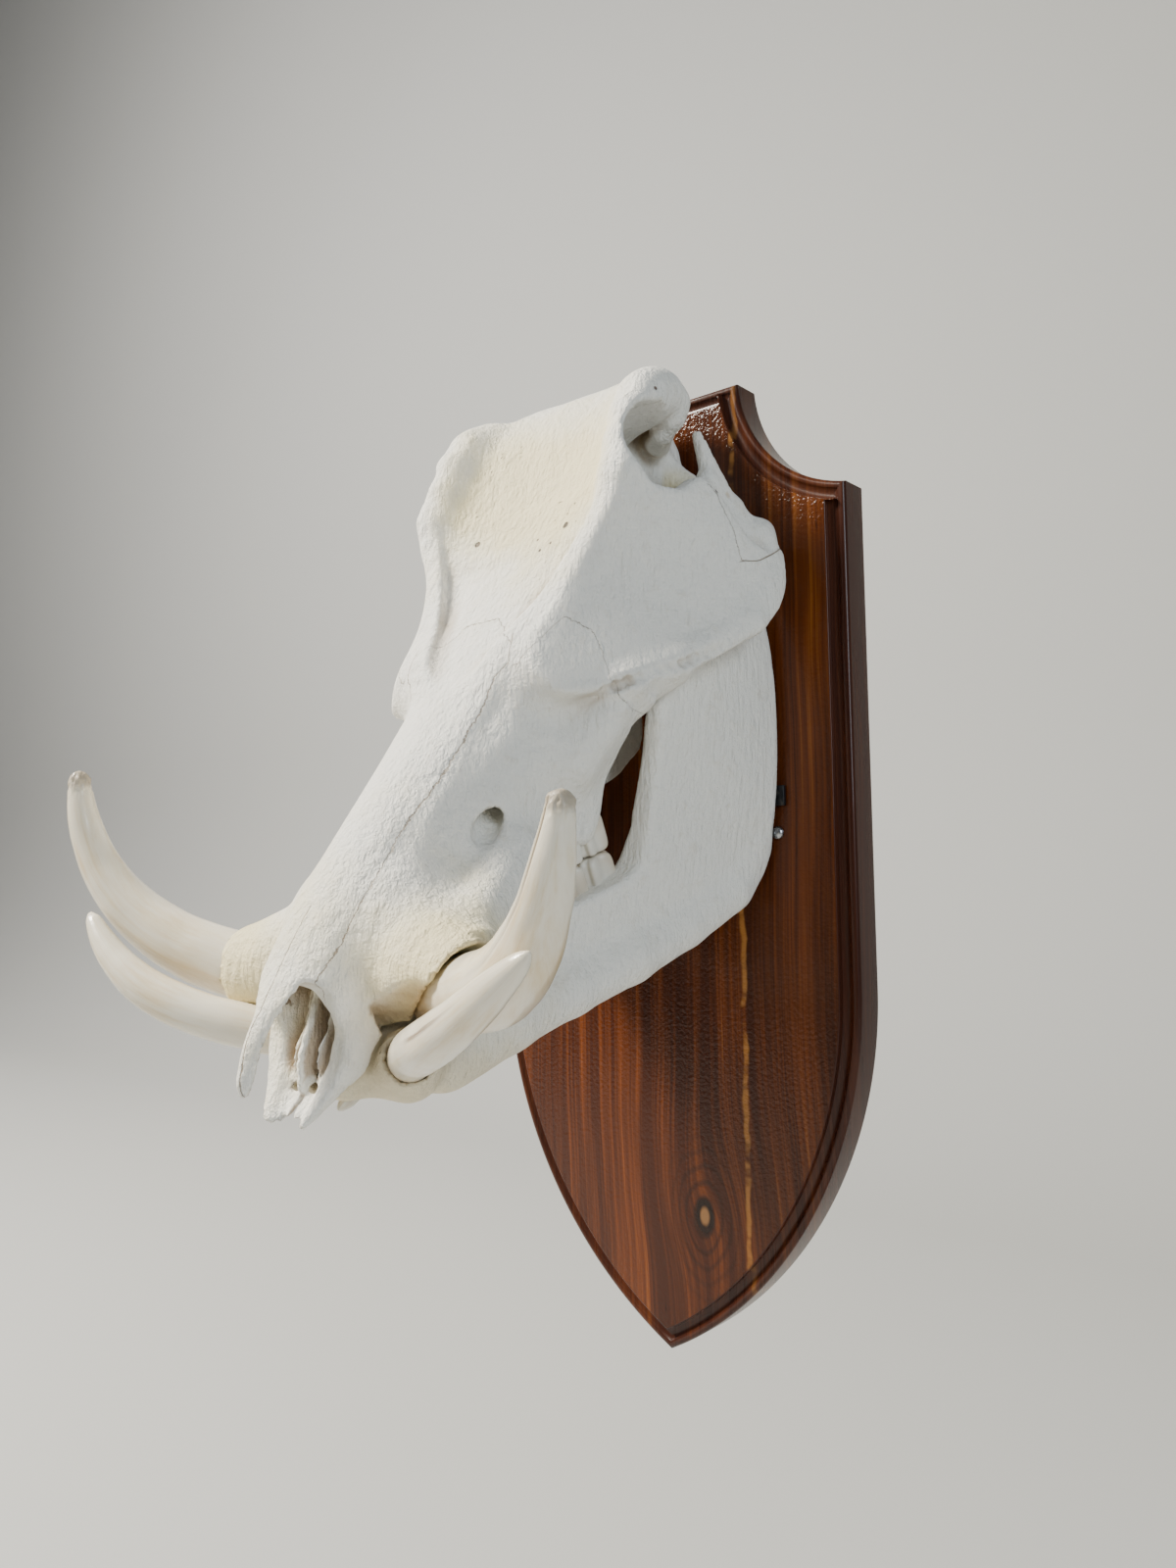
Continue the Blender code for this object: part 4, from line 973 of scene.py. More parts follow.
def wood_finish():
    m = Finish("varnished_wood", 0.2, Coat_Weight=0.12, Coat_Roughness=0.06,
               Specular_IOR_Level=0.22)
    x, depth, z = (m.axis(name) for name in "XYZ")
    dx, dz = x - KNOT_X, (z - KNOT_Z) * 0.62
    far = (dx * dx + dz * dz) ** 0.5
    push = (far * -55.0).math("EXPONENT")
    swirl = (far * -30.0).math("EXPONENT")
    across = dx * (1 - push * 0.93) + swirl * (z - KNOT_Z) * 0.28
    wave = (m.noise(6.0, 2.0, 0.5, m.stretch((0.6, 0.6, 1.0))) - 0.5) * 0.012
    across = across + wave + depth * 0.6

    def grain(scale_x, scale_z, detail, seed):
        spot = m.node("ShaderNodeCombineXYZ", None, {0: across * scale_x, 1: seed, 2: z * scale_z})
        return m.noise(1.0, detail, 0.6, spot)

    broad = grain(30.0, 1.6, 2.0, 3.0)
    middle = grain(130.0, 2.4, 4.0, 8.0)
    fine = grain(560.0, 7.0, 3.0, 5.0)
    flecks = grain(260.0, 34.0, 2.0, 1.0)
    glow = (broad * 0.55 + middle * 0.75 + (fine - 0.5) * 0.6).band(0.5, 0.95)
    colour = m.mix(glow, (0.040, 0.0095, 0.003), (0.17, 0.042, 0.0075))
    gold = (middle * 0.75 + broad * 0.35 + fine * 0.25).band(0.76, 0.92)
    colour = m.mix(gold * 0.65, colour, (0.42, 0.15, 0.024))
    rope = (x - 0.052 + (m.noise(70.0, 2.0, 0.5) - 0.5) * 0.005).size().band(0.0022, 0.0006)
    rope = rope * m.noise(24.0, 3.0, 0.7, m.stretch((1.0, 1.0, 2.2))).band(0.35, 0.55)
    colour = m.mix(rope * 0.6, colour, (0.46, 0.20, 0.045))
    colour = m.mix(flecks.band(0.68, 0.78) * 0.7, colour, (0.012, 0.004, 0.002))
    ring = (far * 1300.0 + (middle - 0.5) * 7).math("SINE") * far.band(0.034, 0.008)
    colour = m.mix((ring * 0.6).math("MAXIMUM", 0.0), colour, (0.016, 0.005, 0.002))
    colour = m.mix(far.band(0.0075, 0.0045), colour, (0.012, 0.005, 0.003))
    colour = m.mix(far.band(0.0036, 0.0018), colour, (0.20, 0.10, 0.04))
    moulding = m.attribute("moulding")
    colour = m.mix(moulding.band(0.06, 0.01) * 0.55, colour, (0.040, 0.014, 0.010))
    bead = moulding.band(0.02, 0.1) * moulding.band(0.95, 0.6)
    ripple = m.noise(520.0, 2.0, 0.6) * (bead * 1.0 + 0.06) + fine * 0.08
    return m.set(Base_Color=colour, Roughness=0.25 - bead * 0.13 + middle * 0.05,
                 Normal=m.bump(ripple, 0.0006, 0.6))


wood = wood_finish()
print("wood is drawn by", len(wood.node_tree.nodes), "nodes, round a knot at", (KNOT_X, KNOT_Z))

# %% [markdown]
# The screws are bright plated steel and the tabs and the pin are black oxidised steel, with
# fine scratches and a little dust.

# %% Steel
def steel_finish(name, colour, rough, metallic):
    m = Finish(name, rough, Metallic=metallic)
    grain = m.noise(900.0, 3.0, 0.6, m.stretch((1.0, 1.0, 0.15)))
    dust = m.noise(240.0, 3.0, 0.6).band(0.5, 0.75)
    return m.set(Base_Color=m.mix(dust * 0.4, colour, (0.16, 0.14, 0.12)),
                 Roughness=rough + grain * 0.2 + dust * 0.2, Normal=m.bump(grain, 0.00005, 0.4))


steel = steel_finish("dark_steel", (0.42, 0.43, 0.45), 0.18, 1.0)
black = steel_finish("black_steel", (0.018, 0.018, 0.020), 0.4, 0.6)
print("steel is drawn by", len(steel.node_tree.nodes), "nodes")

# %% [markdown]
# ## The two bones
# The cranium and the jaw are each one surface. Three things are kept on every vertex for
# the finish: how hollow the place is, found by asking the field a few millimetres above
# the surface, which sets the painted shade in hollows, how cream the bone is there, and
# where the hairlines run.

# %% Bones
CRANIUM_STEP = 1.78
JAW_STEP = 1.5
CRANIUM_BOX = ((0, 108), (-4, 432), (-124, 52))
JAW_BOX = ((0, 92), (78, 414), (-176, -20))
HOLLOW_REACH = 6.0
# Hairlines: nasal edge (side along s), and cross lines (s along the side)
NASAL_LINE = [(208, 30), (214, 31.5), (221, 32), (226, 28), (246, 24), (265, 23.5), (282, 23),
              (300, 21),
              (310, 19.5), (335, 21), (350, 20), (366, 19), (379, 16.5)]
FRONTAL_LINE = [(0, 191.5), (8, 190.5), (18, 200), (25, 207), (31, 212)]
LACRIMAL_LINE = [(28, 226), (43, 212), (46, 202), (49, 194.5), (56, 196), (62.5, 205), (67, 216)]
TEMPLE_LINE = [(-45, 126), (-34, 116), (-26, 111), (-18, 107)]
CRACK_LINE = [(101, -63), (112, -57), (121, -51), (126, -45)]


def past(value, low, high):
    """How far a value lies outside a range."""
    return np.maximum(0, np.maximum(low - value, value - high))


def hairlines(points):
    """For each hairline, the signed distance to it and the distance past its ends."""
    x, s, v = points.T
    a = np.abs(x)
    return {
        "seam_nasal": (a - curve(NASAL_LINE, s), past(s, 208, 380) + past(v, -12, 60)),
        "seam_frontal": (s - curve(FRONTAL_LINE, a), past(a, -1, 31) + past(v, -12, 60)),
        "seam_lacrimal": (s - curve(LACRIMAL_LINE, a), past(a, 28.5, 67) + past(s, 188, 222)),
        "seam_middle": (x - 0.6 - 0.8 * np.sin(s / 13), past(s, 350, 424) + past(v, -3, 60)),
        "seam_temple": (s - curve(TEMPLE_LINE, v), past(v, -46, -14) + past(a, 70, 120)),
        "crack": (v - curve(CRACK_LINE, s), past(s, 100, 126) + past(a, 84, 120)),
    }


def store(obj, name, values, kind="FLOAT"):
    """Keeps a value or a vector on every vertex."""
    field = obj.data.attributes.new(name, kind, "POINT")
    field.data.foreach_set("vector" if kind == "FLOAT_VECTOR" else "value",
                           np.asarray(values, float).ravel())


def finish_bone(name, field, points, faces, material, cream):
    """Makes the object and keeps the hollows and the cream zones on its vertices."""
    obj = outward(add_mesh(name, room_place(points), faces, material))
    normals = np.empty(len(points) * 3)
    obj.data.vertices.foreach_get("normal", normals)
    normals = normals.reshape(-1, 3)
    ways = np.stack([normals[:, 0], normals @ SNOUT_WAY, normals @ FACE_WAY], axis=1)
    x, s, v = (points + HOLLOW_REACH * ways).T
    above = field(np.abs(x), s, v)
    # How hollow each place is; the finish turns it into painted shade.
    store(obj, "hollow", np.clip((HOLLOW_REACH - above) / HOLLOW_REACH, 0, 1))
    store(obj, "cream", cream(points, ways))
    return obj


def cranium_cream(points, ways):
    """How cream the cranium is: most on top of the forehead and on the tusks' collars."""
    x, s, v = points.T
    a = np.abs(x)
    up = np.clip(ways[:, 2] * 1.6 - 0.3, 0, 1)
    forehead = np.exp(-((s - 110) / 60) ** 2) * np.exp(-(a / 62) ** 4)
    snout = 0.45 * np.exp(-((s - 360) / 75) ** 2)
    away = np.maximum(0, tusk_field(a, s, v, UPPER_TUSK_LEFT, UPPER_TUSK_RADII, 0.6))
    collar = np.exp(-(away / 16) ** 2)
    return up * (forehead + 0.6 * snout) + 0.4 * snout + 0.75 * collar


def jaw_cream(points, ways):
    """How cream the jaw is: most at the chin."""
    return 0.9 * np.exp(-((points[:, 1] - 400) / 50) ** 2) + 0.1


slow = 1.0
points, faces = bone_surface(cranium_bone, CRANIUM_BOX, CRANIUM_STEP * slow, broken_collar)
cranium = finish_bone("cranium_bone", cranium_bone, points, faces, bone, cranium_cream)
for name, (distance, beyond) in hairlines(points).items():
    store(cranium, name, np.stack([distance, beyond, beyond * 0], axis=1), "FLOAT_VECTOR")
keep(cranium, "bone", "cranium")
points, faces = bone_surface(jaw_bone, JAW_BOX, JAW_STEP * slow)
mandible = finish_bone("mandible_bone", jaw_bone, points, faces, jaw_finish, jaw_cream)
keep(mandible, "bone", "mandible")

# %% [markdown]
# ## Geometry Nodes
#
# Tusks, teeth and mouldings each follow a rule: a section carried along a path, or one
# crown set again and again along the jaw. Node trees do this well, because the rule stays
# readable and each number that shapes it is a named input. A tree is run once and its
# result is kept as a plain mesh.

# %% Node trees for shapes
class Growth(Nodes):
    """A Geometry Nodes tree with named inputs."""

    kinds = {float: "NodeSocketFloat", int: "NodeSocketInt", tuple: "NodeSocketVector"}

    def __init__(self, name, inputs):
        self.tree = bpy.data.node_groups.new(name, "GeometryNodeTree")
        self.inputs, self.keys = inputs, {}
        for way in ("INPUT", "OUTPUT"):
            self.tree.interface.new_socket("Geometry", in_out=way, socket_type="NodeSocketGeometry")
        for key, value in inputs.items():
            made = self.tree.interface.new_socket(key, in_out="INPUT",
                                                  socket_type=self.kinds[type(value)])
            made.default_value = value
            self.keys[key] = made.identifier
        self.start = self.tree.nodes.new("NodeGroupInput")
        self.end = self.tree.nodes.new("NodeGroupOutput")

    def given(self, name):
        return Value(self, self.start.outputs[name])

    def vector(self, operation, one, other=None, scale=None):
        sockets = {0: one}
        if other is not None:
            sockets[1] = other
        if scale is not None:
            sockets["Scale"] = scale
        output = 1 if operation in ("DOT_PRODUCT", "LENGTH", "DISTANCE") else 0
        return self.node("ShaderNodeVectorMath", {"operation": operation}, sockets, output)

    def store(self, geometry, name, value, kind="FLOAT"):
        sockets = {"Geometry": geometry, "Name": name, "Value": value}
        return self.node("GeometryNodeStoreNamedAttribute", {"data_type": kind, "domain": "POINT"},
                         sockets)

    def stored(self, name, kind="FLOAT"):
        return self.node("GeometryNodeInputNamedAttribute", {"data_type": kind}, {"Name": name})

    def shift(self, geometry, offset=None, position=None):
        sockets = {"Geometry": geometry}
        if offset is not None:
            sockets["Offset"] = offset
        if position is not None:
            sockets["Position"] = position
        return self.node("GeometryNodeSetPosition", None, sockets)

    def finish(self, geometry, material):
        whole = self.node("GeometryNodeSetShadeSmooth", None, {"Geometry": geometry})
        whole = self.node("GeometryNodeRealizeInstances", None, {"Geometry": whole})
        whole = self.node("GeometryNodeSetMaterial", None,
                          {"Geometry": whole, "Material": material})
        self.feed(self.end.inputs["Geometry"], whole)

    def make(self, name, values=None, drawing=None):
        """Runs the tree and keeps the result as a plain mesh."""
        obj = bpy.data.objects.new(name, drawing or bpy.data.meshes.new(name))
        bpy.context.scene.collection.objects.link(obj)
        step = obj.modifiers.new("growth", "NODES")
        step.node_group = self.tree
        for key, value in {**self.inputs, **(values or {})}.items():
            step[self.keys[key]] = value
        grown = obj.evaluated_get(bpy.context.evaluated_depsgraph_get())
        mesh = bpy.data.meshes.new_from_object(grown)
        obj.modifiers.remove(step)
        obj.data = mesh
        mesh.name = name
        return outward(obj)


print("a tree's inputs can be", *(kind.__name__ for kind in Growth.kinds))


# %% [markdown]
# ## Tusks
#
# A warthog's tusks grow from open roots and never stop, so each is a long curved cone. The
# upper ones are thick and end in blunt, pitted, worn tips. The lower ones are thinner and
# polished, because they rub against the upper ones. A long groove runs down each upper
# tusk, and dirt has stained it brown.
#
# One tree makes all four, and the small front teeth too. It lays points along a cubic
# curve, closer together at the tip, and carries a circle along them. The radius comes from
# a curve drawn in the tree and falls to zero at both ends, which closes the body.

# %% Tusks
TOWARDS_LEFT_FRONT = (-0.42, -0.90, 0.1)
# Share of a path over which the root rounds off. The ends' rings have to shrink to
# nothing, and a sum that starts just under one does so whatever the rounding of floats
ROOT_ROUND = 0.02
UNDER_ONE = 0.9999


def tusk_tree(name, radii, material):
    """Tree of a body along a cubic curve, with its radius in millimetres given along it."""
    g = Growth(name, {"Root": (0.0, 0.0, 0.0), "Root handle": (0.0, 0.0, 0.0),
                      "Tip handle": (0.0, 0.0, 0.0),
                      "Tip": (0.0, 0.0, 0.0), "Rings": 170, "Sides": 96, "Blunt": 0.012,
                      "Groove side": (0.0, -1.0, 0.0),
                      "Groove depth": 0.0, "Wear": 0.0, "Flatten": 0.0, "Seed": 0.0,
                      "Start": 0.0})
    line = g.node("GeometryNodeMeshLine", None, {"Count": g.given("Rings")})
    rail = g.node("GeometryNodeMeshToCurve", None, {0: line})
    share = g.node("GeometryNodeInputIndex") / (g.given("Rings") - 1)
    t = 1 - (1 - share) ** 1.5 * (1 - g.given("Start"))
    left = 1 - t
    shares = (left ** 3, 3 * left * left * t, 3 * left * t * t, t ** 3)
    place = None
    for control, weight in zip(("Root", "Root handle", "Tip handle", "Tip"), shares):
        part = g.vector("SCALE", g.given(control), scale=weight)
        place = part if place is None else g.vector("ADD", place, part)
    rail = g.store(rail, "along", t)
    rail = g.store(rail, "middle", place, "FLOAT_VECTOR")
    rail = g.shift(rail, position=place)
    widest = max(r for _, r in radii)
    profile = g.node("ShaderNodeFloatCurve", None, {"Value": t})
    drawn = profile.socket.node.mapping.curves[0]
    stations = np.linspace(0, 1, 9)
    while len(drawn.points) < len(stations):
        drawn.points.new(0.5, 0.5)
    for point, station, radius in zip(drawn.points, stations, curve(radii, stations)):
        point.location = (station, radius / widest)
    profile.socket.node.mapping.update()
    tip = ((t - 1) / g.given("Blunt") + 1).math("MAXIMUM", 0.0)
    tip = (UNDER_ONE - tip ** 2).math("MAXIMUM", 0.0) ** 0.5
    root = (1 - (t - g.given("Start")) / ROOT_ROUND).math("MAXIMUM", 0.0)
    root = (UNDER_ONE - root ** 2).math("MAXIMUM", 0.0) ** 0.5
    rail = g.store(rail, "thick", profile * (widest * MM) * tip * root)
    ring = g.node("GeometryNodeCurvePrimitiveCircle", None,
                  {"Resolution": g.given("Sides"), "Radius": 1.0})
    body = g.node("GeometryNodeCurveToMesh", None,
                  {"Curve": rail, "Profile Curve": ring, "Scale": g.stored("thick")})
    body = g.node("GeometryNodeMergeByDistance", None, {"Geometry": body, "Distance": 0.00002})
    along = g.stored("along")
    position = g.node("GeometryNodeInputPosition")
    out = g.vector("SUBTRACT", position, g.stored("middle", "FLOAT_VECTOR"))
    way = g.vector("NORMALIZE", out)
    groove_way = g.vector("NORMALIZE", g.given("Groove side"))
    angle = g.vector("DOT_PRODUCT", way, groove_way).math("ARCCOSINE")
    groove = angle.band(0.15, 0.02) * along.band(0.45, 0.62) * along.band(1.0, 0.96)
    flat = g.given("Flatten") * (angle * 2).math("COSINE")
    rough = g.node("ShaderNodeTexNoise", {"noise_dimensions": "4D"},
                   {"Vector": position, "W": g.given("Seed"), "Scale": 420.0, "Detail": 3.0}) - 0.5
    swell = g.node("ShaderNodeTexNoise", {"noise_dimensions": "4D"},
                   {"Vector": position, "W": g.given("Seed") + 5, "Scale": 55.0,
                    "Detail": 1.0}) - 0.5
    worn = along.band(0.93, 0.99) * g.given("Wear")
    lift = rough * worn * 0.0028 + swell * 0.0011 - groove * g.given("Groove depth")
    lift = lift + g.vector("LENGTH", out) * flat
    body = g.shift(body, offset=g.vector("SCALE", way, scale=lift))
    turn = g.node("ShaderNodeSeparateXYZ", None, {0: way}, 0)
    rise = g.node("ShaderNodeSeparateXYZ", None, {0: way}, 2)
    flow = g.node("ShaderNodeCombineXYZ", None, {0: turn, 1: rise, 2: along * 0.8})
    body = g.store(body, "flow", flow, "FLOAT_VECTOR")
    body = g.store(body, "groove", groove)
    body = g.store(body, "worn", worn)
    g.finish(body, material)
    return g


def tusk_values(control, right, **values):
    """Input values of one tusk: its path in the room, then whatever else is given."""
    points = np.array(control, float) * ((-1, 1, 1) if right else (1, 1, 1))
    names = ("Root", "Root handle", "Tip handle", "Tip")
    named = {name: tuple(float(c) for c in place) for name, place in zip(names, room_place(points))}
    return {**named, **{key.replace("_", " "): value for key, value in values.items()}}


upper_tree = tusk_tree("upper_tusk_growth", UPPER_TUSK_RADII, ivory)
lower_tree = tusk_tree("lower_tusk_growth", LOWER_TUSK_RADII, ivory)
for side, upper, lower in (("left", UPPER_TUSK_LEFT, LOWER_TUSK_LEFT),
                           ("right", UPPER_TUSK_RIGHT, LOWER_TUSK_RIGHT)):
    right = side == "right"
    values = tusk_values(upper, right, Blunt=0.02, Groove_side=TOWARDS_LEFT_FRONT,
                         Groove_depth=0.0013,
                         Wear=1.0, Flatten=0.03, Seed=3.0 if right else 8.0, Start=TUSK_START)
    keep(upper_tree.make("upper_tusk_" + side + "_ivory", values), "ivory", "upper_tusk_" + side)
    values = tusk_values(lower, right, Blunt=0.03, Groove_side=TOWARDS_LEFT_FRONT, Wear=0.15,
                         Seed=1.0 if right else 2.0, Start=TUSK_START)
    keep(lower_tree.make("lower_tusk_" + side + "_ivory", values), "ivory", "lower_tusk_" + side)

# %% [markdown]
# ## Teeth
#
# The cheek teeth stand in rows and their flat, worn crowns press together. Each crown is
# made of a few columns, so its side is fluted. The front teeth are small curved pegs in the
# tip of the jaw. The crown is one rounded, fluted block, and each row sets it again at the
# tooth's own length, one after the other from the back.

# %% Teeth
BITE_BACK = (34, 252, -90.5)
BITE_FRONT = (27, 304, -56)
UPPER_TEETH = [17, 14, 10, 8]
LOWER_TEETH = [19, 14, 9]
TOOTH_HALF_WIDTH = 6.0
TOOTH_HALF_HEIGHT = 9.5
BITE_GAP = 0.7
INCISOR = [(5, 380, -49), (6, 392, -46), (6, 401, -42), (7, 409, -38)]
INCISOR_RADII = [(0, 3.2), (0.6, 3.3), (0.85, 2.9), (1, 2.2)]


def teeth_tree(lengths, material):
    """Tree of a row of crowns along the X axis, with the biting face at zero height."""
    inputs = {f"Length {k + 1}": float(length) for k, length in enumerate(lengths)}
    inputs.update({"Half width": TOOTH_HALF_WIDTH, "Half height": TOOTH_HALF_HEIGHT, "Taper": 0.25,
                   "Flutes": 0.26})
    g = Growth("tooth_row", inputs)
    index = g.node("GeometryNodeInputIndex")
    switch = g.tree.nodes.new("GeometryNodeIndexSwitch")
    switch.data_type = "FLOAT"
    while len(switch.index_switch_items) < len(lengths):
        switch.index_switch_items.new()
    for k in range(len(lengths)):
        g.feed(switch.inputs[k + 1], g.given(f"Length {k + 1}"))
    g.feed(switch.inputs["Index"], index)
    choose = Value(g, switch.outputs["Output"])
    before = g.node("GeometryNodeAccumulateField", {"data_type": "FLOAT"}, {0: choose}, 1)
    middle = before + choose / 2
    place = g.node("ShaderNodeCombineXYZ", None, {0: middle * MM})
    points = g.shift(g.node("GeometryNodeMeshLine", None, {"Count": len(lengths)}), position=place)
    ball = g.node("GeometryNodeMeshUVSphere", None, {"Segments": 96, "Rings": 48, "Radius": 1.0})
    position = g.node("GeometryNodeInputPosition")
    x, y, z = (g.node("ShaderNodeSeparateXYZ", None, {0: position}, k) for k in range(3))
    turn = y.math("ARCTAN2", x)
    wide = (x * x + y * y) ** 0.5
    square = (turn.math("COSINE").size() ** 4 + turn.math("SINE").size() ** 4) ** -0.25
    high = z.size() ** 0.35
    full = (1 - high ** 5).math("MAXIMUM", 0.0) ** 0.2
    fluted = 1 + g.given("Flutes") * ((turn * 6).math("COSINE") - 1) * 0.5
    flat = wide * 0 + square * full * fluted
    shaped = g.node("ShaderNodeCombineXYZ", None,
                    {0: turn.math("COSINE") * flat, 1: turn.math("SINE") * flat,
                                                   2: high * z.math("SIGN")})
    crown = g.shift(ball, position=shaped)
    size = g.node("ShaderNodeCombineXYZ", None, {
        0: choose * (0.515 * MM),
        1: (1 - g.given("Taper") * index / len(lengths)) * g.given("Half width") * MM,
        2: g.given("Half height") * MM})
    row = g.node("GeometryNodeInstanceOnPoints", None,
                 {"Points": points, "Instance": crown, "Scale": size})
    g.finish(row, material)
    return g


def place_row(obj, upper, right):
    """Moves a row from the X axis to the bite line, roots away from the bite."""
    back, front = np.array(BITE_BACK, float), np.array(BITE_FRONT, float)
    along = (front - back) / np.linalg.norm(front - back)
    up = np.cross(along, (1, 0, 0))
    up *= np.sign(up[2]) / np.linalg.norm(up) * (1 if upper else -1)
    side = np.cross(up, along)
    local = np.empty(len(obj.data.vertices) * 3)
    obj.data.vertices.foreach_get("co", local)
    local = local.reshape(-1, 3) / MM
    rise = local[:, 2:] + TOOTH_HALF_HEIGHT + BITE_GAP / 2
    placed = back + local[:, :1] * along + local[:, 1:2] * side + rise * up
    if right:
        placed[:, 0] *= -1
    obj.data.vertices.foreach_set("co", room_place(placed).ravel())
    obj.data.update()
    return outward(obj)


for jaw, lengths in (("upper", UPPER_TEETH), ("lower", LOWER_TEETH)):
    tree = teeth_tree(lengths, enamel)
    for side in ("left", "right"):
        row = place_row(tree.make(f"{jaw}_teeth_{side}"), jaw == "upper", side == "right")
        keep(row, "enamel", f"{jaw}_cheek_teeth_{side}")
peg_tree = tusk_tree("incisor_growth", INCISOR_RADII, enamel)
for side in ("left", "right"):
    values = tusk_values(INCISOR, side == "right", Rings=60, Sides=48, Blunt=0.25, Wear=0.2,
                         Flatten=0.08)
    keep(peg_tree.make("incisor_peg_" + side, values), "enamel", "lower_incisor_" + side)

# %% [markdown]
# ## Shield
#
# The board is sawn from three-quarter inch wood. A cutter run round its edge leaves a
# rounded bead, a shallow cove and a small step up to the flat field. The outline is drawn
# from arcs: two long ones meet in the bottom point, and two quarter-round bites take off
# the top corners. The cutter's section is then carried along the outline by a tree, which
# is what the real cutter does. At a corner the section has to be stretched sideways to
# keep the mitre sharp, and its depth has to be kept as it was.

# %% Shield
SHIELD_HEIGHT = 0.500
SHIELD_HALF_WIDTH = 0.1145
POINT_ARC_RADIUS = 0.215
POINT_ARC_TOP = 0.190
SHOULDER_ARC_CENTRE = (0.1268, 0.5069)
SHOULDER_ARC_RADIUS = 0.0727
SHOULDER_HEIGHT = 0.4352
EDGE_THICK = 0.0184
FIELD_THICK = 0.0209
MOULDING_WIDTH = 0.0105
BEAD_RADIUS = 0.0024
COVE_RADIUS = 0.0040
COVE_CENTRE = (0.0066, EDGE_THICK + 0.0024)
STEP_FOOT = (0.0092, EDGE_THICK - 0.0007)
STEP_HEAD = (0.0093, FIELD_THICK - 0.0010)
FIELD_EDGE_RADIUS = 0.0008
FIELD_INSET = MOULDING_WIDTH - 0.0004


def arc(centre, radius, start, end, count):
    """Points along an arc, from the start angle to the end angle."""
    angles = np.linspace(start, end, count)
    return [(centre[0] + radius * math.cos(t), centre[1] + radius * math.sin(t)) for t in angles]


def shield_outline():
    """Points round the board's edge from its bottom point, in the board's plane."""
    centre = (SHIELD_HALF_WIDTH - POINT_ARC_RADIUS, POINT_ARC_TOP)
    start = -math.acos(-centre[0] / POINT_ARC_RADIUS)
    half = arc(centre, POINT_ARC_RADIUS, start, 0, 60)
    cx, cz = SHOULDER_ARC_CENTRE
    low = math.atan2(SHOULDER_HEIGHT - cz, SHIELD_HALF_WIDTH - cx)
    high = -math.pi + math.asin((cz - SHIELD_HEIGHT) / SHOULDER_ARC_RADIUS)
    half += arc(SHOULDER_ARC_CENTRE, SHOULDER_ARC_RADIUS, low, high, 40)
    # Set in by the moulding's width, the step next to the point would cross the middle
    half = [(0.0, half[0][1])] + half[2:]
    return np.array(half + [(-x, z) for x, z in half[:0:-1]]) - (0, SHIELD_HEIGHT / 2)


def moulding():
    """The cutter's section: how far in from the edge, and how far out from the back."""
    bead_centre = (BEAD_RADIUS, EDGE_THICK - BEAD_RADIUS)
    steps = [(0, 0)] + arc(bead_centre, BEAD_RADIUS, math.pi, math.radians(52), 14)
    steps += arc(COVE_CENTRE, COVE_RADIUS, math.radians(-132), math.radians(-58), 10)
    steps += [STEP_FOOT, STEP_HEAD]
    field_edge = (FIELD_INSET, FIELD_THICK - FIELD_EDGE_RADIUS)
    steps += arc(field_edge, FIELD_EDGE_RADIUS, math.pi, math.pi / 2, 6)
    return np.array(steps)


def board_tree(material):
    """Tree that carries the cutter's section round the outline and fills front and back."""
    g = Growth("board_moulding", {"Field inset": FIELD_INSET, "Field height": FIELD_THICK})
    drawing = Value(g, g.start.outputs["Geometry"])
    chosen = {"Geometry": drawing, "Selection": g.stored("section") - 0.5}
    split = g.node("GeometryNodeSeparateGeometry", {"domain": "POINT"}, chosen)
    section = g.node("GeometryNodeMeshToCurve", None, {0: split})
    outline = g.node("GeometryNodeMeshToCurve", None, {0: Value(g, split.socket.node.outputs[1])})
    outline = g.node("GeometryNodeSetCurveNormal", {"mode": "Z_UP"}, {0: outline})
    stretch = g.stored("mitre")
    swept = {"Curve": outline, "Profile Curve": section, "Scale": stretch}
    rim = g.node("GeometryNodeCurveToMesh", None, swept)
    flatten = g.node("ShaderNodeCombineXYZ", None, {0: 1.0, 1: 1.0, 2: stretch ** -1})
    position = g.node("GeometryNodeInputPosition")
    rim = g.shift(rim, position=g.vector("MULTIPLY", position, flatten))
    normal = g.node("GeometryNodeInputNormal")
    inwards = g.vector("SCALE", normal, scale=stretch * g.given("Field inset") * -1)
    rise = g.node("ShaderNodeCombineXYZ", None, {2: g.given("Field height")})
    front = g.node("GeometryNodeFillCurve", None, {0: g.shift(outline, offset=inwards)})
    front = g.store(g.shift(front, offset=rise), "moulding", 1.0)
    back = g.node("GeometryNodeFillCurve", None, {0: outline})
    joined = g.node("GeometryNodeJoinGeometry")
    for piece in (rim, front, back):
        g.tree.links.new(piece.socket, joined.socket.node.inputs[0])
    joined = g.node("GeometryNodeMergeByDistance", None, {"Geometry": joined, "Distance": 0.00003})
    upright = g.node("GeometryNodeTransform", None,
                     {"Geometry": joined, "Rotation": (math.pi / 2, 0.0, 0.0)})
    g.finish(upright, material)
    return g


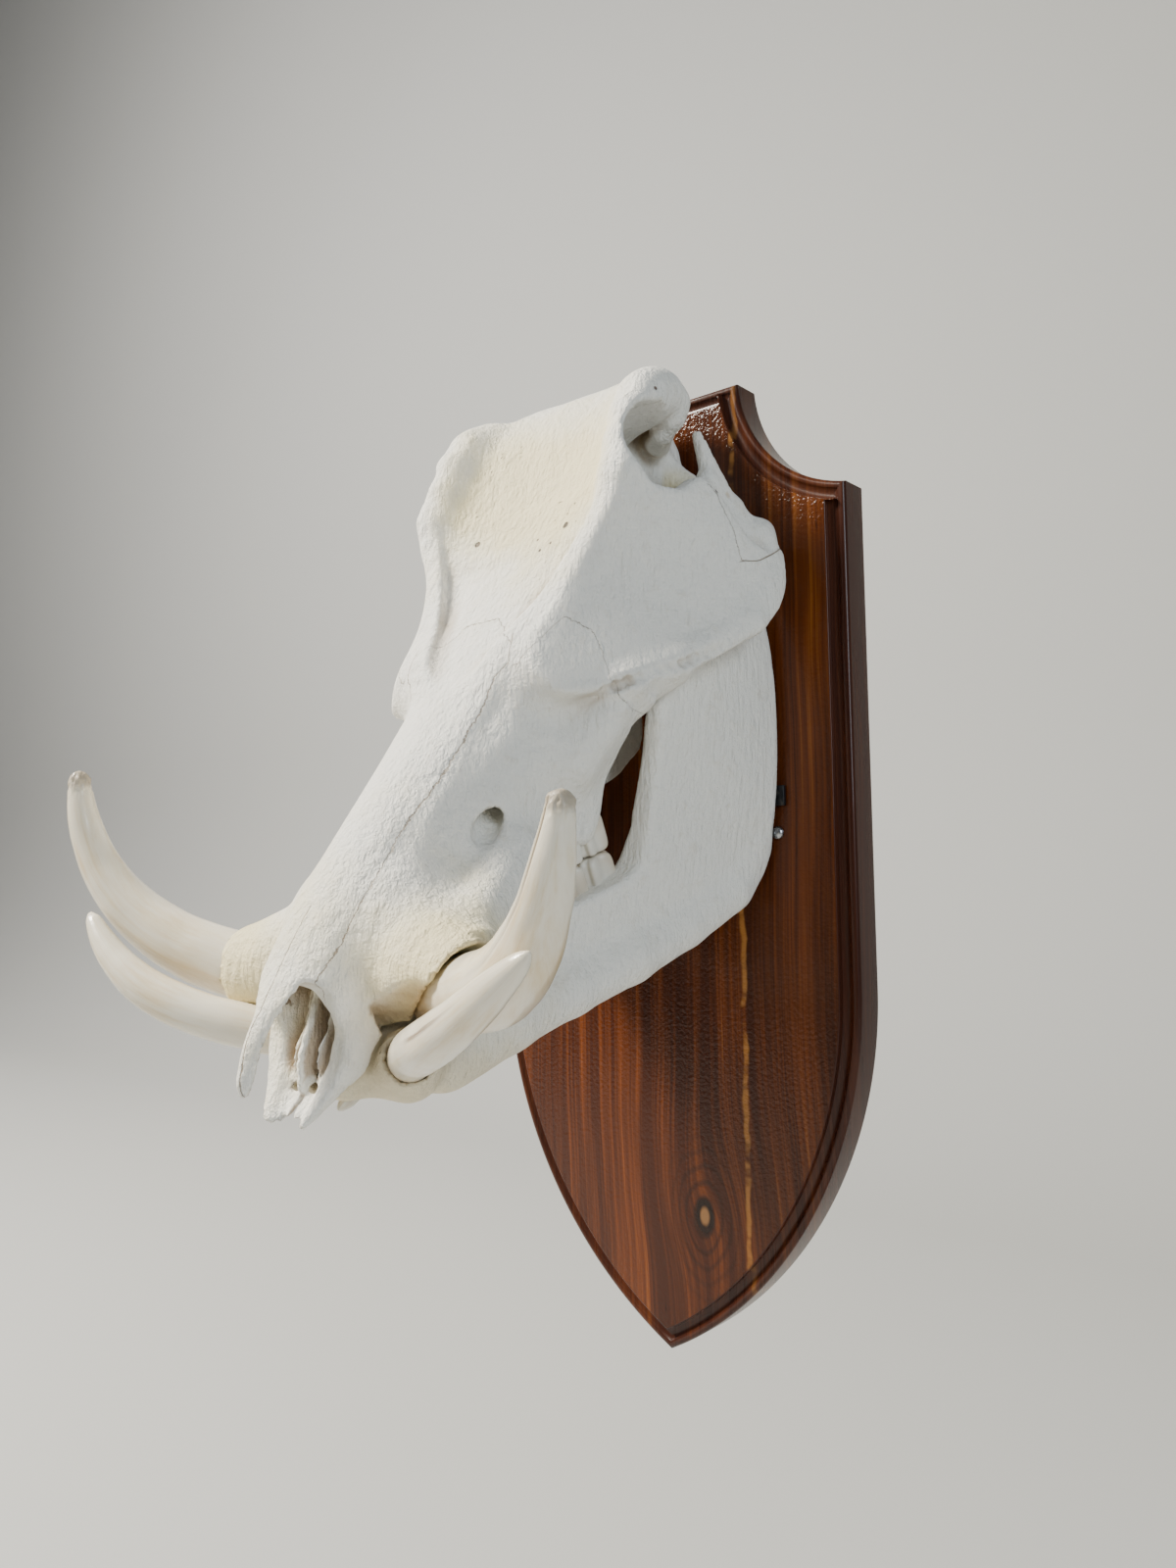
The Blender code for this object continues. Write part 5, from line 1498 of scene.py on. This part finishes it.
def board_drawing():
    """Outline and section as loose edges, with the mitre stretch kept on the outline."""
    outline, section = shield_outline(), moulding()
    ways = np.roll(outline, -1, axis=0) - outline
    ways /= np.linalg.norm(ways, axis=1)[:, None]
    straight = (ways * np.roll(ways, 1, axis=0)).sum(axis=1)
    mitre = 1 / np.sqrt((1 + straight) / 2)
    points = [(x, z, 0) for x, z in outline] + [(-by, -depth, 0) for by, depth in section]
    n, m = len(outline), len(section)
    edges = [(k, (k + 1) % n) for k in range(n)] + [(n + k, n + k + 1) for k in range(m - 1)]
    mesh = bpy.data.meshes.new("board_drawing")
    mesh.from_pydata(points, edges, [])
    for name, values in (("section", [0.0] * n + [1.0] * m), ("mitre", list(mitre) + [1.0] * m),
                         ("moulding", [0.0] * n + list(np.linspace(0, 1, m)))):
        mesh.attributes.new(name, "FLOAT", "POINT").data.foreach_set("value", values)
    return mesh


board = board_tree(wood).make("shield_board", drawing=board_drawing())
board.data.set_sharp_from_angle(angle=math.radians(32))
keep(board, "varnished_wood", "shield")
corners = np.array([board.matrix_world @ Vector(c) for c in board.bound_box])
print("board from", corners.min(axis=0).round(4), "to", corners.max(axis=0).round(4),
      len(board.data.polygons), "faces")

# %% [markdown]
# ## Fixings
#
# The skull stands on a pin in the board, which the skull hides. Behind each corner of the
# jaw a small dark tab and a screw with a bright head hold a tie. They are turned and cut
# parts, so a section spun round an axis and a block with worn edges describe them.

# %% Fixings
FACE_GAP = 0.0003
STANDOFF_PLACE = (0.0, 0.185)
TAB_SIZE = (0.0060, 0.0024, 0.0100)
TAB_PLACE = (0.0765, 0.034)
SCREW_PLACE = (0.0745, 0.0158)
SCREW_SECTION = [(0, 0), (3.2, 0), (3.2, 0.5), (3.0, 1.1), (2.5, 1.7), (1.8, 2.15), (1.0, 2.38),
                 (0.9, 2.0), (0, 1.8)]
TURNED_SIDES = 48
PIN_SECTION = [(0, 0), (7, 0), (7, 36.5), (6.2, 38.0), (0, 38.0)]


def machined(name, made, material):
    """The object of a machined body, shaded smooth between its sharp edges."""
    mesh = bpy.data.meshes.new(name)
    made.to_mesh(mesh)
    made.free()
    mesh.materials.append(material)
    obj = bpy.data.objects.new(name, mesh)
    bpy.context.scene.collection.objects.link(obj)
    mesh.shade_smooth()
    mesh.set_sharp_from_angle(angle=math.radians(40))
    return outward(obj)


def turned(name, section, place, material):
    """A body of revolution standing out from the board. The section is in millimetres."""
    made = bmesh.new()
    base = -FIELD_THICK - FACE_GAP
    edges = []
    verts = [made.verts.new((place[0] + r * MM, base - h * MM, place[1])) for r, h in section]
    for one, two in zip(verts, verts[1:]):
        edges.append(made.edges.new((one, two)))
    centre = (place[0], base, place[1])
    bmesh.ops.spin(made, geom=verts + edges, cent=centre, axis=(0, 1, 0), angle=2 * math.pi,
                   steps=TURNED_SIDES)
    bmesh.ops.remove_doubles(made, verts=made.verts, dist=1e-6)
    return machined(name, made, material)


def tab(name, x, z, material):
    """A small plate on the board, with worn edges."""
    made = bmesh.new()
    bmesh.ops.create_cube(made, size=1)
    bmesh.ops.scale(made, vec=TAB_SIZE, verts=made.verts)
    bmesh.ops.translate(made, vec=(x, -FIELD_THICK - FACE_GAP - TAB_SIZE[1] / 2, z),
                        verts=made.verts)
    bmesh.ops.bevel(made, geom=made.edges[:], offset=0.0005, segments=3, profile=0.5,
                    affect="EDGES")
    return machined(name, made, material)


for side, sign in (("left", 1), ("right", -1)):
    head = turned("jaw_screw_head_" + side, SCREW_SECTION, (sign * SCREW_PLACE[0], SCREW_PLACE[1]),
                  steel)
    keep(head, "dark_steel", "jaw_screw_" + side)
    piece = tab("jaw_tab_plate_" + side, sign * TAB_PLACE[0], TAB_PLACE[1], black)
    keep(piece, "dark_steel", "jaw_tab_" + side)
keep(turned("skull_pin", PIN_SECTION, STANDOFF_PLACE, black), "dark_steel", "skull_standoff")

# %% Camera
LENS = 27.045
SENSOR = 36.0
CAMERA_PLACE = (0.37625, -0.52631, -0.00008)
CAMERA_YAW, CAMERA_PITCH, CAMERA_ROLL = (math.radians(x) for x in (39.986, 4.078, -0.896))


def add_camera():
    """The camera of the photograph, found by fitting the board's outline to it."""
    ahead = Vector((-math.sin(CAMERA_YAW) * math.cos(CAMERA_PITCH),
                    math.cos(CAMERA_YAW) * math.cos(CAMERA_PITCH), math.sin(CAMERA_PITCH)))
    right = Vector((math.cos(CAMERA_YAW), math.sin(CAMERA_YAW), 0))
    up = right.cross(ahead)
    turned_right = math.cos(CAMERA_ROLL) * right + math.sin(CAMERA_ROLL) * up
    turned_up = math.cos(CAMERA_ROLL) * up - math.sin(CAMERA_ROLL) * right
    data = bpy.data.cameras.new("camera")
    data.lens = LENS
    data.sensor_width = SENSOR
    camera = bpy.data.objects.new("camera", data)
    bpy.context.scene.collection.objects.link(camera)
    camera.matrix_world = Matrix((turned_right, turned_up, -ahead)).transposed().to_4x4()
    camera.location = CAMERA_PLACE
    bpy.context.scene.camera = camera
    return camera


camera = add_camera()
print("camera", camera.location)

# %% Stage and lights
WALL_DISTANCE = 2.2
WALL_TOP = 5.0
FLOOR_DEPTH = -0.55
FLOOR_FRONT = -6.0
STAGE_HALF_WIDTH = 9.0
STAGE_BEND = 1.0


def add_stage():
    """A sheet of grey paper that bends up from the floor into the wall behind the board."""
    paper = Finish("backdrop_paper", 0.9)
    paper.set(Base_Color=(0.50, 0.50, 0.48, 1))
    bend_centre = (WALL_DISTANCE - STAGE_BEND, FLOOR_DEPTH + STAGE_BEND)
    profile = [(FLOOR_FRONT, FLOOR_DEPTH)]
    profile += arc(bend_centre, STAGE_BEND, -math.pi / 2, 0, 12)
    profile += [(WALL_DISTANCE, WALL_TOP)]
    points = [(x, y, z) for y, z in profile for x in (-STAGE_HALF_WIDTH, STAGE_HALF_WIDTH)]
    faces = [(2 * k, 2 * k + 1, 2 * k + 3, 2 * k + 2) for k in range(len(profile) - 1)]
    stage = add_mesh("stage_backdrop", points, faces, paper.material)


def add_light(name, place, target, size, power, colour):
    """A rectangular area light at a place, turned to its target."""
    data = bpy.data.lights.new(name, "AREA")
    data.shape = "RECTANGLE"
    data.size, data.size_y = size
    data.energy = power
    data.color = colour
    light = bpy.data.objects.new(name, data)
    bpy.context.scene.collection.objects.link(light)
    light.location = place
    light.rotation_euler = (Vector(target) - Vector(place)).to_track_quat("-Z", "Y").to_euler()
    return light


add_stage()
add_light("key", (-1.3, -1.3, 1.7), (0, -0.1, 0), (0.6, 0.6), 140, (1.0, 0.95, 0.85))
add_light("window", (2.0, -0.9, 0.7), (0, -0.1, 0), (0.6, 1.2), 24, (0.80, 0.90, 1.0))
add_light("backdrop", (-2.6, -1.2, 2.6), (-3.6, 2.0, 0.8), (1.6, 1.6), 190, (1.0, 0.97, 0.93))
world = bpy.data.worlds.new("studio")
world.use_nodes = True
world.node_tree.nodes["Background"].inputs["Color"].default_value = (0.75, 0.78, 0.82, 1)
world.node_tree.nodes["Background"].inputs["Strength"].default_value = 0.13
bpy.context.scene.world = world
print("three lights, and paper", WALL_DISTANCE, "m behind the board")
